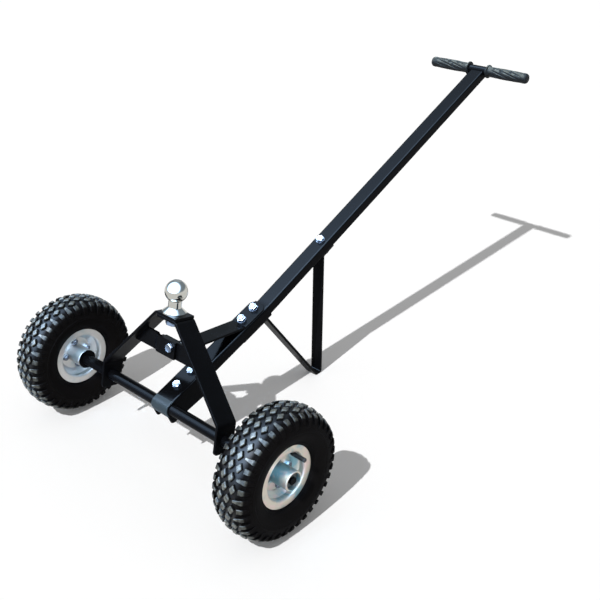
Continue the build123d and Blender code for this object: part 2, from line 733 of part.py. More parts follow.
with BuildPart() as cross_bolt:
    bolt_length = 2 * ARM_STRAP + BRACE_STRAP + NUT + THREAD_PAST_NUT
    arm_front = LEAN.section(-2 * ARM_STRAP, CROSS_BOLT_AT, NEAR, CROSS_BOLT_ACROSS)
    hex_bolt(arm_front, BOLT, BOLT_FLATS, BOLT_HEAD, bolt_length)
save(cross_bolt, "cross_bolt")

with BuildPart() as cross_nut:
    tab_back = LEAN.section(BRACE_STRAP, CROSS_BOLT_AT, across=CROSS_BOLT_ACROSS)
    hex_nut(tab_back, BOLT, BOLT_FLATS, NUT)
save(cross_nut, "cross_nut")


# Wheels
def valve_spot(outward, offset, radius):
    """Point at the valve's angle, at an offset and a radius from the wheel's middle."""
    angle = radians(VALVE_ANGLE)
    return wheel_centre(outward) + Vector(radius * cos(angle), outward * offset, radius * sin(angle))


def valve_body(outward, gap, mode):
    """Bent valve stem: a leg out of the inner tube, then a straight stem facing outwards."""
    leg_top = valve_spot(outward, VALVE_ELBOW, TUBE_FLOOR_RADIUS)
    elbow = valve_spot(outward, VALVE_ELBOW, VALVE_RADIUS)
    stem_end = valve_spot(outward, HUB_END - VALVE_CAP, VALVE_RADIUS)
    with BuildLine(mode=Mode.PRIVATE) as run:
        FilletPolyline(leg_top, elbow, stem_end, radius=VALVE_BEND)
    with BuildSketch(Plane(origin=leg_top, z_dir=elbow - leg_top), mode=Mode.PRIVATE) as bore:
        Circle(VALVE_DIAMETER / 2 + gap)
    sweep(bore.sketch, path=run.wire(), mode=mode)


def crown_drop(across):
    """How far the crown falls away at a distance from the tyre's middle."""
    return CROWN_ARC - sqrt(CROWN_ARC**2 - across**2)


def lug_blank(reach):
    """One shoulder lug, drawn across the tyre and as long as its reach down the sidewall."""
    inner = SHOULDER - LUG_INSET
    foot = SHOULDER_RADIUS + TREAD_DEPTH - reach
    with BuildPart(mode=Mode.PRIVATE) as lug:
        with BuildSketch(Plane.XZ):
            Polygon(
                (TYRE_RADIUS - crown_drop(inner), inner),
                (SHOULDER_RADIUS + TREAD_DEPTH, SHOULDER),
                (SHOULDER_RADIUS, SHOULDER + TREAD_DEPTH - LUG_STAND),
                (foot, TYRE_WIDTH / 2),
                (foot, SHOULDER + LUG_STAND),
                (CROWN_RADIUS - crown_drop(inner) - LUG_STAND, inner),
                align=None,
            )
        extrude(amount=LUG_LENGTH / 2, both=True)
    return lug.part


def block_blank(depth):
    """One diamond-shaped tread block, standing along X."""
    with BuildPart(mode=Mode.PRIVATE) as block:
        with BuildSketch(Plane.YZ.offset(-depth / 2)):
            Polygon(
                (-BLOCK_LENGTH / 2, 0),
                (0, -BLOCK_WIDTH / 2),
                (BLOCK_LENGTH / 2, 0),
                (0, BLOCK_WIDTH / 2),
                align=None,
            )
        extrude(amount=depth)
    return block.part


def tread_row(outward, offset_across, start):
    """A ring of flat-topped blocks that lean with the crown."""
    depth = TREAD_DEPTH + TYRE_WALL / 2
    lean = asin(offset_across / CROWN_ARC)
    middle_radius = TYRE_RADIUS - crown_drop(offset_across) - depth / 2 * cos(lean)
    with Locations(wheel_face(outward, offset_across - depth / 2 * sin(lean))):
        with PolarLocations(middle_radius, BLOCK_COUNT, start_angle=start):
            add(block_blank(depth), rotation=(0, -degrees(lean), 0))


def tyre_cavity(floor_radius, floor_width):
    """Half the hollow inside the tyre, closed at the given radius."""
    with BuildLine() as hollow_edge:
        inner_crown = (0, CROWN_RADIUS - TYRE_WALL)
        inner_shoulder = (SHOULDER - TYRE_WALL / 2, SHOULDER_RADIUS - TYRE_WALL)
        inner_widest = (TYRE_WIDTH / 2 - TYRE_WALL, WIDEST_RADIUS)
        inner_bead = (BEAD_HEEL - TYRE_WALL, RIM_LIP_RADIUS - TYRE_WALL)
        TangentArc(inner_crown, inner_shoulder, tangent=(1, 0))
        ThreePointArc(inner_shoulder, inner_widest, inner_bead)
        Polyline(inner_bead, (floor_width, floor_radius), (0, floor_radius), inner_crown)
    make_face(hollow_edge.edges())


for outward, end in SIDES:
    section_plane = cross_plane(wheel_centre(outward), outward)
    half_step = 180 / BLOCK_COUNT

    # Tyre: a carcass with staggered tread blocks and shoulder lugs
    with BuildPart() as tyre:
        with BuildSketch(section_plane):
            with BuildLine():
                crown = (0, CROWN_RADIUS)
                shoulder = (SHOULDER, SHOULDER_RADIUS)
                lip = (RIM_EDGE, RIM_LIP_RADIUS + FIT)
                TangentArc(crown, shoulder, tangent=(1, 0))
                ThreePointArc(shoulder, (TYRE_WIDTH / 2, WIDEST_RADIUS), lip)
                Polyline(
                    lip,
                    (BEAD_HEEL, RIM_LIP_RADIUS + FIT),
                    (BEAD_HEEL, RIM_SEAT_RADIUS + FIT + RIM_BEND),
                    (BEAD_HEEL - RIM_BEND, RIM_SEAT_RADIUS + FIT),
                    (0, RIM_SEAT_RADIUS + FIT),
                    crown,
                )
            make_face()
            mirror(about=Plane.YZ)
            with BuildSketch(mode=Mode.PRIVATE) as hollow:
                tyre_cavity(RIM_SEAT_RADIUS, BEAD_TOE)
                mirror(about=Plane.YZ)
            add(hollow.sketch, mode=Mode.SUBTRACT)
        revolve(axis=AXLE_LINE)
        for row in range(-ROWS_EACH_SIDE, ROWS_EACH_SIDE + 1):
            tread_row(outward, row * BLOCK_ROW_STEP, FIRST_BLOCK_AT + row % 2 * half_step)
        for facing in (NEAR, FAR):
            lug_face = Plane(
                origin=wheel_centre(outward), x_dir=(1, 0, 0), z_dir=(0, facing, 0)
            )
            with Locations(lug_face):
                with PolarLocations(0, BLOCK_COUNT, start_angle=half_step):
                    add(lug_blank(LONG_LUG))
                with PolarLocations(0, BLOCK_COUNT, start_angle=0):
                    add(lug_blank(SHORT_LUG))
    save(tyre, f"tyre_{end}")

    # Inner tube: a hollow ring just clear of the tyre and the rim
    with BuildPart() as inner_tube:
        with BuildSketch(section_plane):
            tyre_cavity(TUBE_FLOOR_RADIUS, BEAD_TOE - INNER_TUBE_WALL)
            mirror(about=Plane.YZ)
            offset(amount=-SIDE_PLAY)
            with BuildSketch(mode=Mode.PRIVATE) as air:
                tyre_cavity(TUBE_FLOOR_RADIUS, BEAD_TOE - INNER_TUBE_WALL)
                mirror(about=Plane.YZ)
                offset(amount=-SIDE_PLAY - INNER_TUBE_WALL)
            add(air.sketch, mode=Mode.SUBTRACT)
        revolve(axis=AXLE_LINE)
    save(inner_tube, f"inner_tube_{end}")

    # Rim halves: pressed sheet dishes bolted to the hub's flange
    for facing, half in ((1, "outer"), (-1, "inner")):
        with BuildPart() as rim:
            half_plane = cross_plane(wheel_centre(outward), outward * facing)
            with BuildSketch(half_plane):
                with BuildLine():
                    FilletPolyline(
                        (HUB_FLANGE / 2, HUB_RADIUS + FIT),
                        (HUB_FLANGE / 2, RIM_DISH_RADIUS),
                        (BEAD_TOE, RIM_SEAT_RADIUS),
                        (BEAD_HEEL + FIT, RIM_SEAT_RADIUS),
                        (BEAD_HEEL + FIT, RIM_LIP_RADIUS),
                        radius=RIM_BEND,
                    )
                    offset(amount=RIM_SHEET, side=Side.RIGHT)
                make_face()
            revolve(axis=AXLE_LINE)
            with BuildSketch(wheel_face(outward, 0)) as bolt_holes:
                with PolarLocations(RIM_BOLT_RADIUS, RIM_BOLT_COUNT):
                    Circle(RIM_BOLT / 2 + BOLT_CLEARANCE)
            extrude(bolt_holes.sketch, amount=HUB_END, both=True, mode=Mode.SUBTRACT)
            if half == "outer":
                valve_body(outward, SIDE_PLAY, Mode.SUBTRACT)
        save(rim, f"rim_{half}_{end}")

    # Hub: turned tube with a flange in the middle and a bearing seat at each end
    with BuildPart() as hub:
        with BuildSketch(section_plane):
            with BuildLine():
                Polyline(
                    (0, HUB_BORE / 2),
                    (BEARING_IN, HUB_BORE / 2),
                    (BEARING_IN, BEARING_DIAMETER / 2),
                    (HUB_END, BEARING_DIAMETER / 2),
                    (HUB_END, HUB_RADIUS - HUB_CHAMFER),
                    (HUB_END - HUB_CHAMFER, HUB_RADIUS),
                    (HUB_FLANGE / 2, HUB_RADIUS),
                    (HUB_FLANGE / 2, RIM_DISH_RADIUS - RIM_BEND),
                    (0, RIM_DISH_RADIUS - RIM_BEND),
                    close=True,
                )
            make_face()
            mirror(about=Plane.YZ)
        revolve(axis=AXLE_LINE)
        with BuildSketch(wheel_face(outward, 0)) as bolt_holes:
            with PolarLocations(RIM_BOLT_RADIUS, RIM_BOLT_COUNT):
                Circle(RIM_BOLT / 2 + BOLT_CLEARANCE)
        extrude(bolt_holes.sketch, amount=HUB_FLANGE, both=True, mode=Mode.SUBTRACT)
    save(hub, f"hub_{end}")

    # Bearings: two sealed rings that run on the journals
    with BuildPart() as bearings:
        for facing in (NEAR, FAR):
            race_bore = JOURNAL_RADIUS + RUNNING_FIT
            race_outside = BEARING_DIAMETER / 2 - RUNNING_FIT
            with BuildSketch(cross_plane(wheel_centre(outward), facing)) as race:
                with Locations(((BEARING_IN + BEARING_OUT) / 2, (race_bore + race_outside) / 2)):
                    Rectangle(BEARING_WIDTH, race_outside - race_bore)
                for shield in (BEARING_IN, BEARING_OUT):
                    with Locations((shield, (race_bore + race_outside) / 2)):
                        Rectangle(
                            2 * SHIELD_DEPTH,
                            race_outside - race_bore - 2 * BEARING_RACE,
                            mode=Mode.SUBTRACT,
                        )
            revolve(race.sketch, axis=AXLE_LINE)
    save(bearings, f"bearings_{end}")

    # Rim bolts and nuts
    rim_face = HUB_FLANGE / 2 + RIM_SHEET
    bolt_spots = PolarLocations(RIM_BOLT_RADIUS, RIM_BOLT_COUNT).local_locations
    with BuildPart() as rim_bolts:
        for spot in bolt_spots:
            seat = Plane(wheel_face(outward, rim_face).location * spot)
            bolt_length = 2 * rim_face + RIM_NUT + THREAD_PAST_NUT
            hex_bolt(seat, RIM_BOLT, RIM_BOLT_FLATS, RIM_BOLT_HEAD, bolt_length)
    save(rim_bolts, f"rim_bolts_{end}")

    with BuildPart() as rim_nuts:
        for spot in bolt_spots:
            seat = Plane(wheel_face(outward, -rim_face - RIM_NUT).location * spot)
            hex_nut(seat, RIM_BOLT, RIM_BOLT_FLATS, RIM_NUT)
    save(rim_nuts, f"rim_nuts_{end}")

    # Valve stem and cap
    cap_start = HUB_END - VALVE_CAP
    with BuildPart() as valve_stem:
        valve_body(outward, 0, Mode.ADD)
        thread_spot = valve_spot(outward, cap_start, VALVE_RADIUS)
        disc(Plane(origin=thread_spot, z_dir=(0, outward, 0)), VALVE_THREAD, VALVE_THREAD_LENGTH)
    save(valve_stem, f"valve_stem_{end}")

    with BuildPart() as valve_cap:
        cap_spot = valve_spot(outward, cap_start + FIT, VALVE_RADIUS)
        cap_plane = Plane(origin=cap_spot, z_dir=(0, outward, 0))
        disc(cap_plane, VALVE_DIAMETER, VALVE_CAP - FIT)
        crown_edge = valve_cap.edges().sort_by(Axis(cap_spot, (0, outward, 0)))[-1]
        fillet(crown_edge, VALVE_CAP_ROUND)
        disc(cap_plane, VALVE_THREAD + 2 * FIT, VALVE_THREAD_LENGTH, Mode.SUBTRACT)
    save(valve_cap, f"valve_cap_{end}")
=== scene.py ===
import math

import bmesh
import bpy
from bpy.props import FloatProperty, FloatVectorProperty, IntProperty, PointerProperty
from bpy.types import Operator, Panel, PropertyGroup
from mathutils import Matrix, Vector


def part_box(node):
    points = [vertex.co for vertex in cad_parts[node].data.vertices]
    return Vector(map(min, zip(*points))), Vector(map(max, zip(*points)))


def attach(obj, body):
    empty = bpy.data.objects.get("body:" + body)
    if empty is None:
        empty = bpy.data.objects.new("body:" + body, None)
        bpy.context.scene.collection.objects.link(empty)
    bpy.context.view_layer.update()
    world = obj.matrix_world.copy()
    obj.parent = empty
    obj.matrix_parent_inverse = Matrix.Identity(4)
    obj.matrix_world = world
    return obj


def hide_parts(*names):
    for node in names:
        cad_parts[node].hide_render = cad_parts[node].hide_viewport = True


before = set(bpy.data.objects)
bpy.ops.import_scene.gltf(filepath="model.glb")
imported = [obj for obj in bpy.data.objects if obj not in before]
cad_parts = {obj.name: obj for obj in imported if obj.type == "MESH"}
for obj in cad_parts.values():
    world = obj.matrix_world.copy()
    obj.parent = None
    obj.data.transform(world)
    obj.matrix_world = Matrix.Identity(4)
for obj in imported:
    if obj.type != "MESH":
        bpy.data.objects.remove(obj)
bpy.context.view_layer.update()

bl_info = {
    "name": "Trailer Dolly",
    "version": (1, 0, 0),
    "blender": (4, 5, 0),
    "location": "View3D > Sidebar > Dolly",
    "description": "Dresses the packed trailer dolly: paint, zinc, tyres, grips, fasteners and stage",
    "category": "Object",
}

# Which finish each group of CAD nodes wears
PAINTED = (
    "aframe_near", "aframe_far", "cross_arm_near", "cross_arm_far", "axle_bracket", "handle_socket",
    "handle_tube", "tee_bar", "brace", "stand", "stop_washers",
)
PLATED = ("ball_lock_washer", "brace_washers", "stand_washer")
# Parts in the hub's recess, whose dark steel is painted shade
HUB_RECESS_PARTS = ("retaining_washers", "cotter_pins")
SIDES = ("near", "far")
OUTWARD = {"near": -1, "far": 1}
MM = 0.001


# Places on the frame, repeated from the part's source
class Member:
    """Axes of a straight member in the side view: along it, and square to it."""

    def __init__(self, origin, tilt):
        angle = math.radians(tilt)
        self.origin = origin
        self.along = Vector((math.cos(angle), 0, math.sin(angle)))
        self.up = Vector((-math.sin(angle), 0, math.cos(angle)))

    def point(self, along, up, across=0.0):
        """A point given in millimetres."""
        return self.origin + (self.along * along + self.up * up + Vector((0, across, 0))) * MM


def middle_of(node):
    """Middle of a CAD node's box."""
    low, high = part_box(node)
    return (low + high) / 2


# Angles in degrees, distances in millimetres
LOWER_TILT = 20.87
UPPER_TILT = 24.43
FRAME_LEAN = 12.9
HANDLE_DROP = 2.5
BEND_ALONG = 320

AXLE = middle_of("axle")
WHEEL_OUT = middle_of("tyre_far").y
LOWER = Member(AXLE, LOWER_TILT)
LOWER.origin = LOWER.point(0, -HANDLE_DROP)
UPPER = Member(LOWER.point(BEND_ALONG, 0), UPPER_TILT)
LEAN = Member(AXLE, -FRAME_LEAN)


def seat(spot, facing):
    """Matrix that stands a fastener on a spot with its Z axis along the facing."""
    turn = facing.to_track_quat("Z", "Y").to_matrix().to_4x4()
    return Matrix.Translation(spot) @ turn


# Mesh helpers
RING_STEPS = 48
SIXTH = math.pi / 3
CHAMFER_SLOPE = math.tan(math.radians(30))
HEX_ROUND = 0.95
SHARP_ANGLE = math.radians(32)

# A ring of no radius keeps this one in millimetres, and the weld then makes it a point
TIP = 0.002
RING_WELD = 3 * TIP * MM


def round_ring(radius, height):
    """Ring of one radius, in millimetres."""
    return lambda angle: (radius, height)


def hex_ring(flats, height, slope=0.0):
    """Ring on a hexagon; the slope moves its corners as a chamfer does."""

    def spot(angle):
        apothem = flats / 2
        radius = apothem / math.cos((angle + SIXTH / 2) % SIXTH - SIXTH / 2)
        return radius, height + slope * (radius - apothem * HEX_ROUND)

    return spot


def flute_ring(radius, height, depth, count, turn):
    """Ring with grooves in it."""

    def spot(angle):
        groove = max(0.0, math.cos(count * (angle - turn))) ** 2
        return radius - depth * groove, height

    return spot


def set_ring(verts, ring):
    """Moves the vertices of a circle on to a ring."""
    for vert in verts:
        angle = math.atan2(vert.co.y, vert.co.x)
        radius, height = ring(angle)
        radius = max(radius, TIP)
        vert.co = Vector((radius * math.cos(angle), radius * math.sin(angle), height)) * MM


def edges_of(verts):
    """Edges that meet any of the vertices."""
    return list({edge for vert in verts for edge in vert.link_edges})


def verts_in(geometry):
    """The vertices among an operator's results."""
    return [part for part in geometry if isinstance(part, bmesh.types.BMVert)]


def stack(bm, rings, matrix, steps=RING_STEPS):
    """Shell of rings joined up the Z axis, then placed; like first and last rings close it."""
    verts = bmesh.ops.create_circle(bm, segments=steps, radius=1.0)["verts"]
    edges = edges_of(verts)
    everything = list(verts)
    set_ring(verts, rings[0])
    for ring in rings[1:]:
        grown = bmesh.ops.extrude_edge_only(bm, edges=edges)["geom"]
        verts = verts_in(grown)
        fresh = set(verts)
        edges = [
            part for part in grown
            if isinstance(part, bmesh.types.BMEdge) and fresh.issuperset(part.verts)
        ]
        everything += verts
        set_ring(verts, ring)
    bmesh.ops.transform(bm, matrix=matrix, verts=everything)
    bmesh.ops.remove_doubles(bm, verts=everything, dist=RING_WELD)


def finished(bm, name, material=None, sharp=SHARP_ANGLE):
    """Object made from a bmesh, at the origin, smooth but for its sharp edges."""
    bmesh.ops.recalc_face_normals(bm, faces=bm.faces)
    mesh = bpy.data.meshes.new(name)
    bm.to_mesh(mesh)
    bm.free()
    mesh.polygons.foreach_set("use_smooth", [True] * len(mesh.polygons))
    mesh.set_sharp_from_angle(angle=sharp)
    piece = bpy.data.objects.new(name, mesh)
    bpy.context.scene.collection.objects.link(piece)
    if material is not None:
        mesh.materials.append(material)
    return piece


def stand_for(piece, body, slot, *nodes):
    """The piece rides on a body in place of CAD nodes; the slot is not used."""
    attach(piece, body)
    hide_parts(*nodes)


# Shader nodes written as expressions
# Sockets of the Mix node when it mixes colours, and long names of the Principled shader's sockets
MIX_FIRST = 6
MIX_SECOND = 7
MIX_COLOUR = 2
SOCKET_NAMES = {"specular": "Specular IOR Level"}


class Value:
    """A shader socket; arithmetic on it adds Math nodes."""

    def __init__(self, shader, socket):
        self.shader = shader
        self.socket = socket

    def __add__(self, other):
        return self.shader.math("ADD", self, other)

    def __radd__(self, other):
        return self.shader.math("ADD", other, self)

    def __sub__(self, other):
        return self.shader.math("SUBTRACT", self, other)

    def __rsub__(self, other):
        return self.shader.math("SUBTRACT", other, self)

    def __mul__(self, other):
        return self.shader.math("MULTIPLY", self, other)

    def __rmul__(self, other):
        return self.shader.math("MULTIPLY", other, self)

    def __truediv__(self, other):
        return self.shader.math("DIVIDE", self, other)

    def __pow__(self, other):
        return self.shader.math("POWER", self, other)

    def smooth_step(self, low, high):
        """0 below low, 1 above high, and a smooth change between."""
        return self.shader.node(
            "ShaderNodeMapRange",
            {"interpolation_type": "SMOOTHSTEP"},
            {"Value": self, "From Min": low, "From Max": high},
        )


class Shader:
    """A material, or the world, being built."""

    def __init__(self, owner):
        owner.use_nodes = True
        self.tree = owner.node_tree
        self.tree.nodes.clear()

    def node(self, kind, settings=None, sockets=None, output=0):
        """Adds a node, sets its settings, then feeds its sockets."""
        made = self.tree.nodes.new(kind)
        for name, setting in (settings or {}).items():
            setattr(made, name, setting)
        for key, value in (sockets or {}).items():
            socket = made.inputs[key]
            if isinstance(value, Value):
                self.tree.links.new(value.socket, socket)
            elif socket.type == "RGBA" and len(value) == 3:
                socket.default_value = (*value, 1.0)
            else:
                socket.default_value = value
        return Value(self, made.outputs[output]) if made.outputs else None

    def math(self, operation, *values):
        """Number from one Math node."""
        return self.node("ShaderNodeMath", {"operation": operation}, dict(enumerate(values)))

    def mix(self, factor, first, second):
        """Colour between two colours."""
        return self.node(
            "ShaderNodeMix",
            {"data_type": "RGBA"},
            {"Factor": factor, MIX_FIRST: first, MIX_SECOND: second},
            output=MIX_COLOUR,
        )

    def place(self):
        """Object coordinates, in metres."""
        return self.node("ShaderNodeTexCoord", output="Object")

    def upward(self):
        """How far a face looks up: 1 for a level top, 0 for an upright side."""
        return self.parts(self.node("ShaderNodeTexCoord", output="Normal"))[2]

    def parts(self, vector):
        """The three numbers of a vector."""
        return [
            self.node("ShaderNodeSeparateXYZ", None, {"Vector": vector}, output=axis)
            for axis in range(3)
        ]

    def from_middle(self, place):
        """Distance from the dolly's middle plane, in metres."""
        return self.math("ABSOLUTE", self.parts(place)[1])

    def noise(self, vector, size, detail=2.0, rough=0.5):
        """Cloudy noise from 0 to 1 with patches of about the given size in metres."""
        return self.node(
            "ShaderNodeTexNoise",
            None,
            {"Vector": vector, "Scale": 1.0 / size, "Detail": detail, "Roughness": rough},
        )

    def bump(self, height, depth):
        """Normal from a height of 0 to 1 that stands for a depth in metres."""
        return self.node(
            "ShaderNodeBump", None, {"Height": height, "Distance": depth, "Strength": 1.0}
        )

    def shade(self, **sockets):
        """Principled shader; keys are socket names with underscores."""
        named = {key.replace("_", " "): value for key, value in sockets.items()}
        named = {SOCKET_NAMES.get(key, key.title()): value for key, value in named.items()}
        return self.node("ShaderNodeBsdfPrincipled", None, named)

    def surface(self, **sockets):
        """Principled shader wired to the output."""
        self.finish(self.shade(**sockets))

    def blend(self, factor, first, second):
        """Shader between two shaders."""
        return self.node("ShaderNodeMixShader", None, {0: factor, 1: first, 2: second})

    def finish(self, shade):
        """Wires a shader to the material's output."""
        self.node("ShaderNodeOutputMaterial", None, {"Surface": shade})

    def ray(self, kind):
        """1 for one kind of ray."""
        return self.node("ShaderNodeLightPath", output=f"Is {kind} Ray")

    def straight(self):
        """1 for rays that come from the camera, also through glass."""
        return self.math("MAXIMUM", self.ray("Camera"), self.ray("Transmission"))

    def seen(self):
        """1 for rays that come from the camera, through glass or off a mirror."""
        return self.math("MAXIMUM", self.straight(), self.ray("Glossy"))

    def radius_about(self, place, centre):
        """Distance from a line across the dolly through a centre, in metres."""
        x, _, z = self.parts(place)
        return ((x - centre.x) ** 2 + (z - centre.z) ** 2) ** 0.5


def new_shader(name):
    """A new material, and its shader to build."""
    material = bpy.data.materials.new(f"dolly_{name}")
    return material, Shader(material)


def finish_named(name):
    """A finish that an earlier step made."""
    return bpy.data.materials[f"dolly_{name}"]


def wear(material, *nodes):
    """Puts a material on CAD nodes."""
    for name in nodes:
        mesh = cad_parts[name].data
        mesh.materials.clear()
        mesh.materials.append(material)


# Properties
COLOUR = {"subtype": "COLOR", "size": 3, "min": 0.0, "max": 1.0}


class DollyColours(PropertyGroup):
    """Colours of the finishes."""

    paint: FloatVectorProperty(
        name="Paint", description="Gloss enamel on the frame and handle",
        default=(0.0022, 0.0024, 0.003), **COLOUR,
    )
    # Painted reflection: a lighter colour that stands for the sky's sheen on the bracket's nose
    nose_sheen: FloatVectorProperty(
        name="Rubbed paint", description="Chalky paint on the axle bracket's nose",
        default=(0.047, 0.068, 0.086), **COLOUR,
    )
    # Painted shade: a darker zinc colour on the flanks of bolts and nuts, below the bright tops
    zinc_flank_shade: FloatVectorProperty(
        name="Dull zinc", description="Zinc on the flanks of bolts and nuts",
        default=(0.13, 0.145, 0.17), **COLOUR,
    )
    zinc: FloatVectorProperty(
        name="Zinc", description="Bright zinc on the tops of bolts and nuts",
        default=(0.80, 0.81, 0.82), **COLOUR,
    )
    washer_zinc: FloatVectorProperty(
        name="Washer zinc", description="Greyer zinc on the washers",
        default=(0.30, 0.32, 0.35), **COLOUR,
    )
    rim_zinc: FloatVectorProperty(
        name="Rim zinc", description="Zinc plate on the rims and hubs",
        default=(0.59, 0.54, 0.45), **COLOUR,
    )
    rim_rose: FloatVectorProperty(
        name="Rim rose", description="Rosy patches of the zinc's passivation",
        default=(0.64, 0.52, 0.47), **COLOUR,
    )
    rim_blue: FloatVectorProperty(
        name="Rim blue", description="Blue clouds of the zinc's passivation",
        default=(0.23, 0.38, 0.41), **COLOUR,
    )
    rim_grey: FloatVectorProperty(
        name="Rim grey", description="Greyer zinc on the far rim",
        default=(0.56, 0.555, 0.54), **COLOUR,
    )
    chrome: FloatVectorProperty(
        name="Chrome", description="Chrome plate on the hitch ball",
        default=(0.58, 0.58, 0.54), **COLOUR,
    )
    rubber: FloatVectorProperty(
        name="Tyre rubber", description="New black rubber on the tyres' sides and grooves",
        default=(0.004, 0.0036, 0.0036), **COLOUR,
    )
    # The tread's light grey is part dust, part painted light on the raised tops
    tread: FloatVectorProperty(
        name="Tread", description="Dusty tops of the tread blocks",
        default=(0.15, 0.16, 0.142), **COLOUR,
    )
    grip: FloatVectorProperty(
        name="Grip rubber", description="Soft black rubber of the grips",
        default=(0.006, 0.0065, 0.0065), **COLOUR,
    )
    # The grips' light grey is part dust and wear, part painted highlight on the upward ridges
    grip_dust_and_sheen: FloatVectorProperty(
        name="Grip dust", description="Dusty, worn ridges of the grips",
        default=(0.17, 0.19, 0.178), **COLOUR,
    )
    floor: FloatVectorProperty(
        name="Floor", description="Pale floor under the dolly",
        default=(0.95, 0.95, 0.95), **COLOUR,
    )


class DollyTyre(PropertyGroup):
    """Sizes of the tyre's tread, in millimetres."""

    width: FloatProperty(name="Width", description="Width over the sides", min=10.0, default=88.0)
    tread_depth: FloatProperty(
        name="Tread depth", description="Height of the blocks", min=1.0, default=7.0,
    )
    shoulder_inset: FloatProperty(
        name="Shoulder inset", description="From the widest point in to the shoulder", default=7.0,
    )
    shoulder_drop: FloatProperty(
        name="Shoulder drop", description="Fall of the crown out to the shoulder", default=10.0,
    )
    block_count: IntProperty(name="Blocks", description="Blocks in each row", min=3, default=20)
    block_length: FloatProperty(
        name="Block length", description="From tip to tip round the tyre", default=24.0,
    )
    block_width: FloatProperty(
        name="Block width", description="From tip to tip across the tyre", default=15.6,
    )
    block_taper: FloatProperty(
        name="Block taper", description="Size of a block's top beside its foot",
        subtype="FACTOR", min=0.0, max=1.0, default=0.76,
    )
    block_round: FloatProperty(
        name="Block edge", description="Rounding of the blocks' edges", default=1.6,
    )
    row_step: FloatProperty(
        name="Row step", description="From one row of blocks to the next", default=9.2,
    )
    side_rows: IntProperty(
        name="Side rows", description="Rows on each side of the middle one", min=0, default=2,
    )
    lug_length: FloatProperty(
        name="Lug length", description="Length of a shoulder lug round the tyre", default=10.5,
    )
    lug_inset: FloatProperty(
        name="Lug inset", description="How far a short lug runs on to the crown", default=8.0,
    )
    long_inset: FloatProperty(
        name="Long inset", description="How far a long lug runs on to the crown", default=15.5,
    )
    lug_tip: FloatProperty(
        name="Lug tip", description="Width left at a long lug's tip, as a share",
        subtype="FACTOR", min=0.0, max=1.0, default=0.4,
    )
    lug_stand: FloatProperty(
        name="Lug stand", description="Height of a lug's foot on the side", default=1.8,
    )
    lug_taper: FloatProperty(
        name="Lug taper", description="How much a lug narrows down the side",
        subtype="FACTOR", min=0.0, max=1.0, default=0.35,
    )
    long_lug: FloatProperty(
        name="Long lug", description="Reach of the long lugs down the side", default=21.0,
    )
    short_lug: FloatProperty(
        name="Short lug", description="Reach of the short lugs down the side", default=14.0,
    )
    rib_stand: FloatProperty(name="Rib", description="Height of the rings on the side", default=0.7)
    rim_rib: FloatProperty(
        name="Rim rib", description="Radius of the ring beside the rim", default=71.0,
    )
    side_rib: FloatProperty(name="Side rib", description="Radius of the ring up the side", default=98.0)
    rib_width: FloatProperty(
        name="Rib width", description="Width of the rings on the side", default=6.0,
    )

    def crown_arc(self):
        """Radius of the crown's arc across the tyre."""
        shoulder = self.width / 2 - self.shoulder_inset
        return (shoulder**2 + self.shoulder_drop**2) / (2 * self.shoulder_drop)

    def ribs(self):
        """Inner and outer radius of each ring on the side."""
        half = self.rib_width / 2
        return [(radius - half, radius + half) for radius in (self.rim_rib, self.side_rib)]


class DollyGrip(PropertyGroup):
    """Sizes of the grips, in millimetres."""

    radius: FloatProperty(name="Radius", description="Radius at the ends", default=12.7)
    barrel: FloatProperty(name="Barrel", description="Swell of the middle", default=0.9)
    flutes: IntProperty(name="Flutes", description="Grooves round a grip", min=1, default=8)
    flute_depth: FloatProperty(name="Flute depth", description="Depth of the grooves", default=1.7)
    twist: FloatProperty(
        name="Twist", description="Turn of the grooves along a grip", subtype="ANGLE",
        default=math.radians(110),
    )
    row_step: FloatProperty(name="Row step", description="Step of the rings", default=2.0)
    plain_start: FloatProperty(
        name="Plain start", description="Smooth length beside the flange", default=6.0,
    )
    plain_end: FloatProperty(name="Plain end", description="Smooth length beside the tip", default=8.0)


class DollyStage(PropertyGroup):
    """The camera and the light."""

    yaw: FloatProperty(
        name="Yaw", description="Heading of the camera's view, from +X towards +Y",
        subtype="ANGLE", default=math.radians(43.56),
    )
    pitch: FloatProperty(
        name="Pitch", description="How far the camera looks down",
        subtype="ANGLE", default=math.radians(28.09),
    )
    roll: FloatProperty(
        name="Roll", description="Turn of the picture about the view",
        subtype="ANGLE", default=math.radians(-1.0),
    )
    camera_place: FloatVectorProperty(
        name="Camera", description="Where the camera stands",
        subtype="TRANSLATION", unit="LENGTH", size=3, default=(-1.4541, -1.3087, 1.2317),
    )
    lens: FloatProperty(
        name="Lens", description="Focal length in millimetres on a 36 mm frame",
        min=10.0, default=55.63,
    )
    sun_heading: FloatProperty(
        name="Sun heading", description="Way the sunlight travels, from +X towards +Y",
        subtype="ANGLE", default=math.radians(8.2),
    )
    sun_height: FloatProperty(
        name="Sun height", description="Height of the sun above the floor",
        subtype="ANGLE", default=math.radians(51.25),
    )
    sun_strength: FloatProperty(
        name="Sun strength", description="Light of the key lamp", min=0.0, default=2.8,
    )
    sky: FloatVectorProperty(
        name="Sky", description="Clear sky that glossy faces mirror",
        subtype="COLOR", size=3, min=0.0, default=(0.30, 0.36, 0.42),
    )
    haze: FloatVectorProperty(
        name="Haze", description="Bright haze round the sun that glossy faces mirror",
        subtype="COLOR", size=3, min=0.0, default=(8.5, 12.0, 17.0),
    )
    fill: FloatProperty(name="Fill", description="Even light from all round", min=0.0, default=0.32)


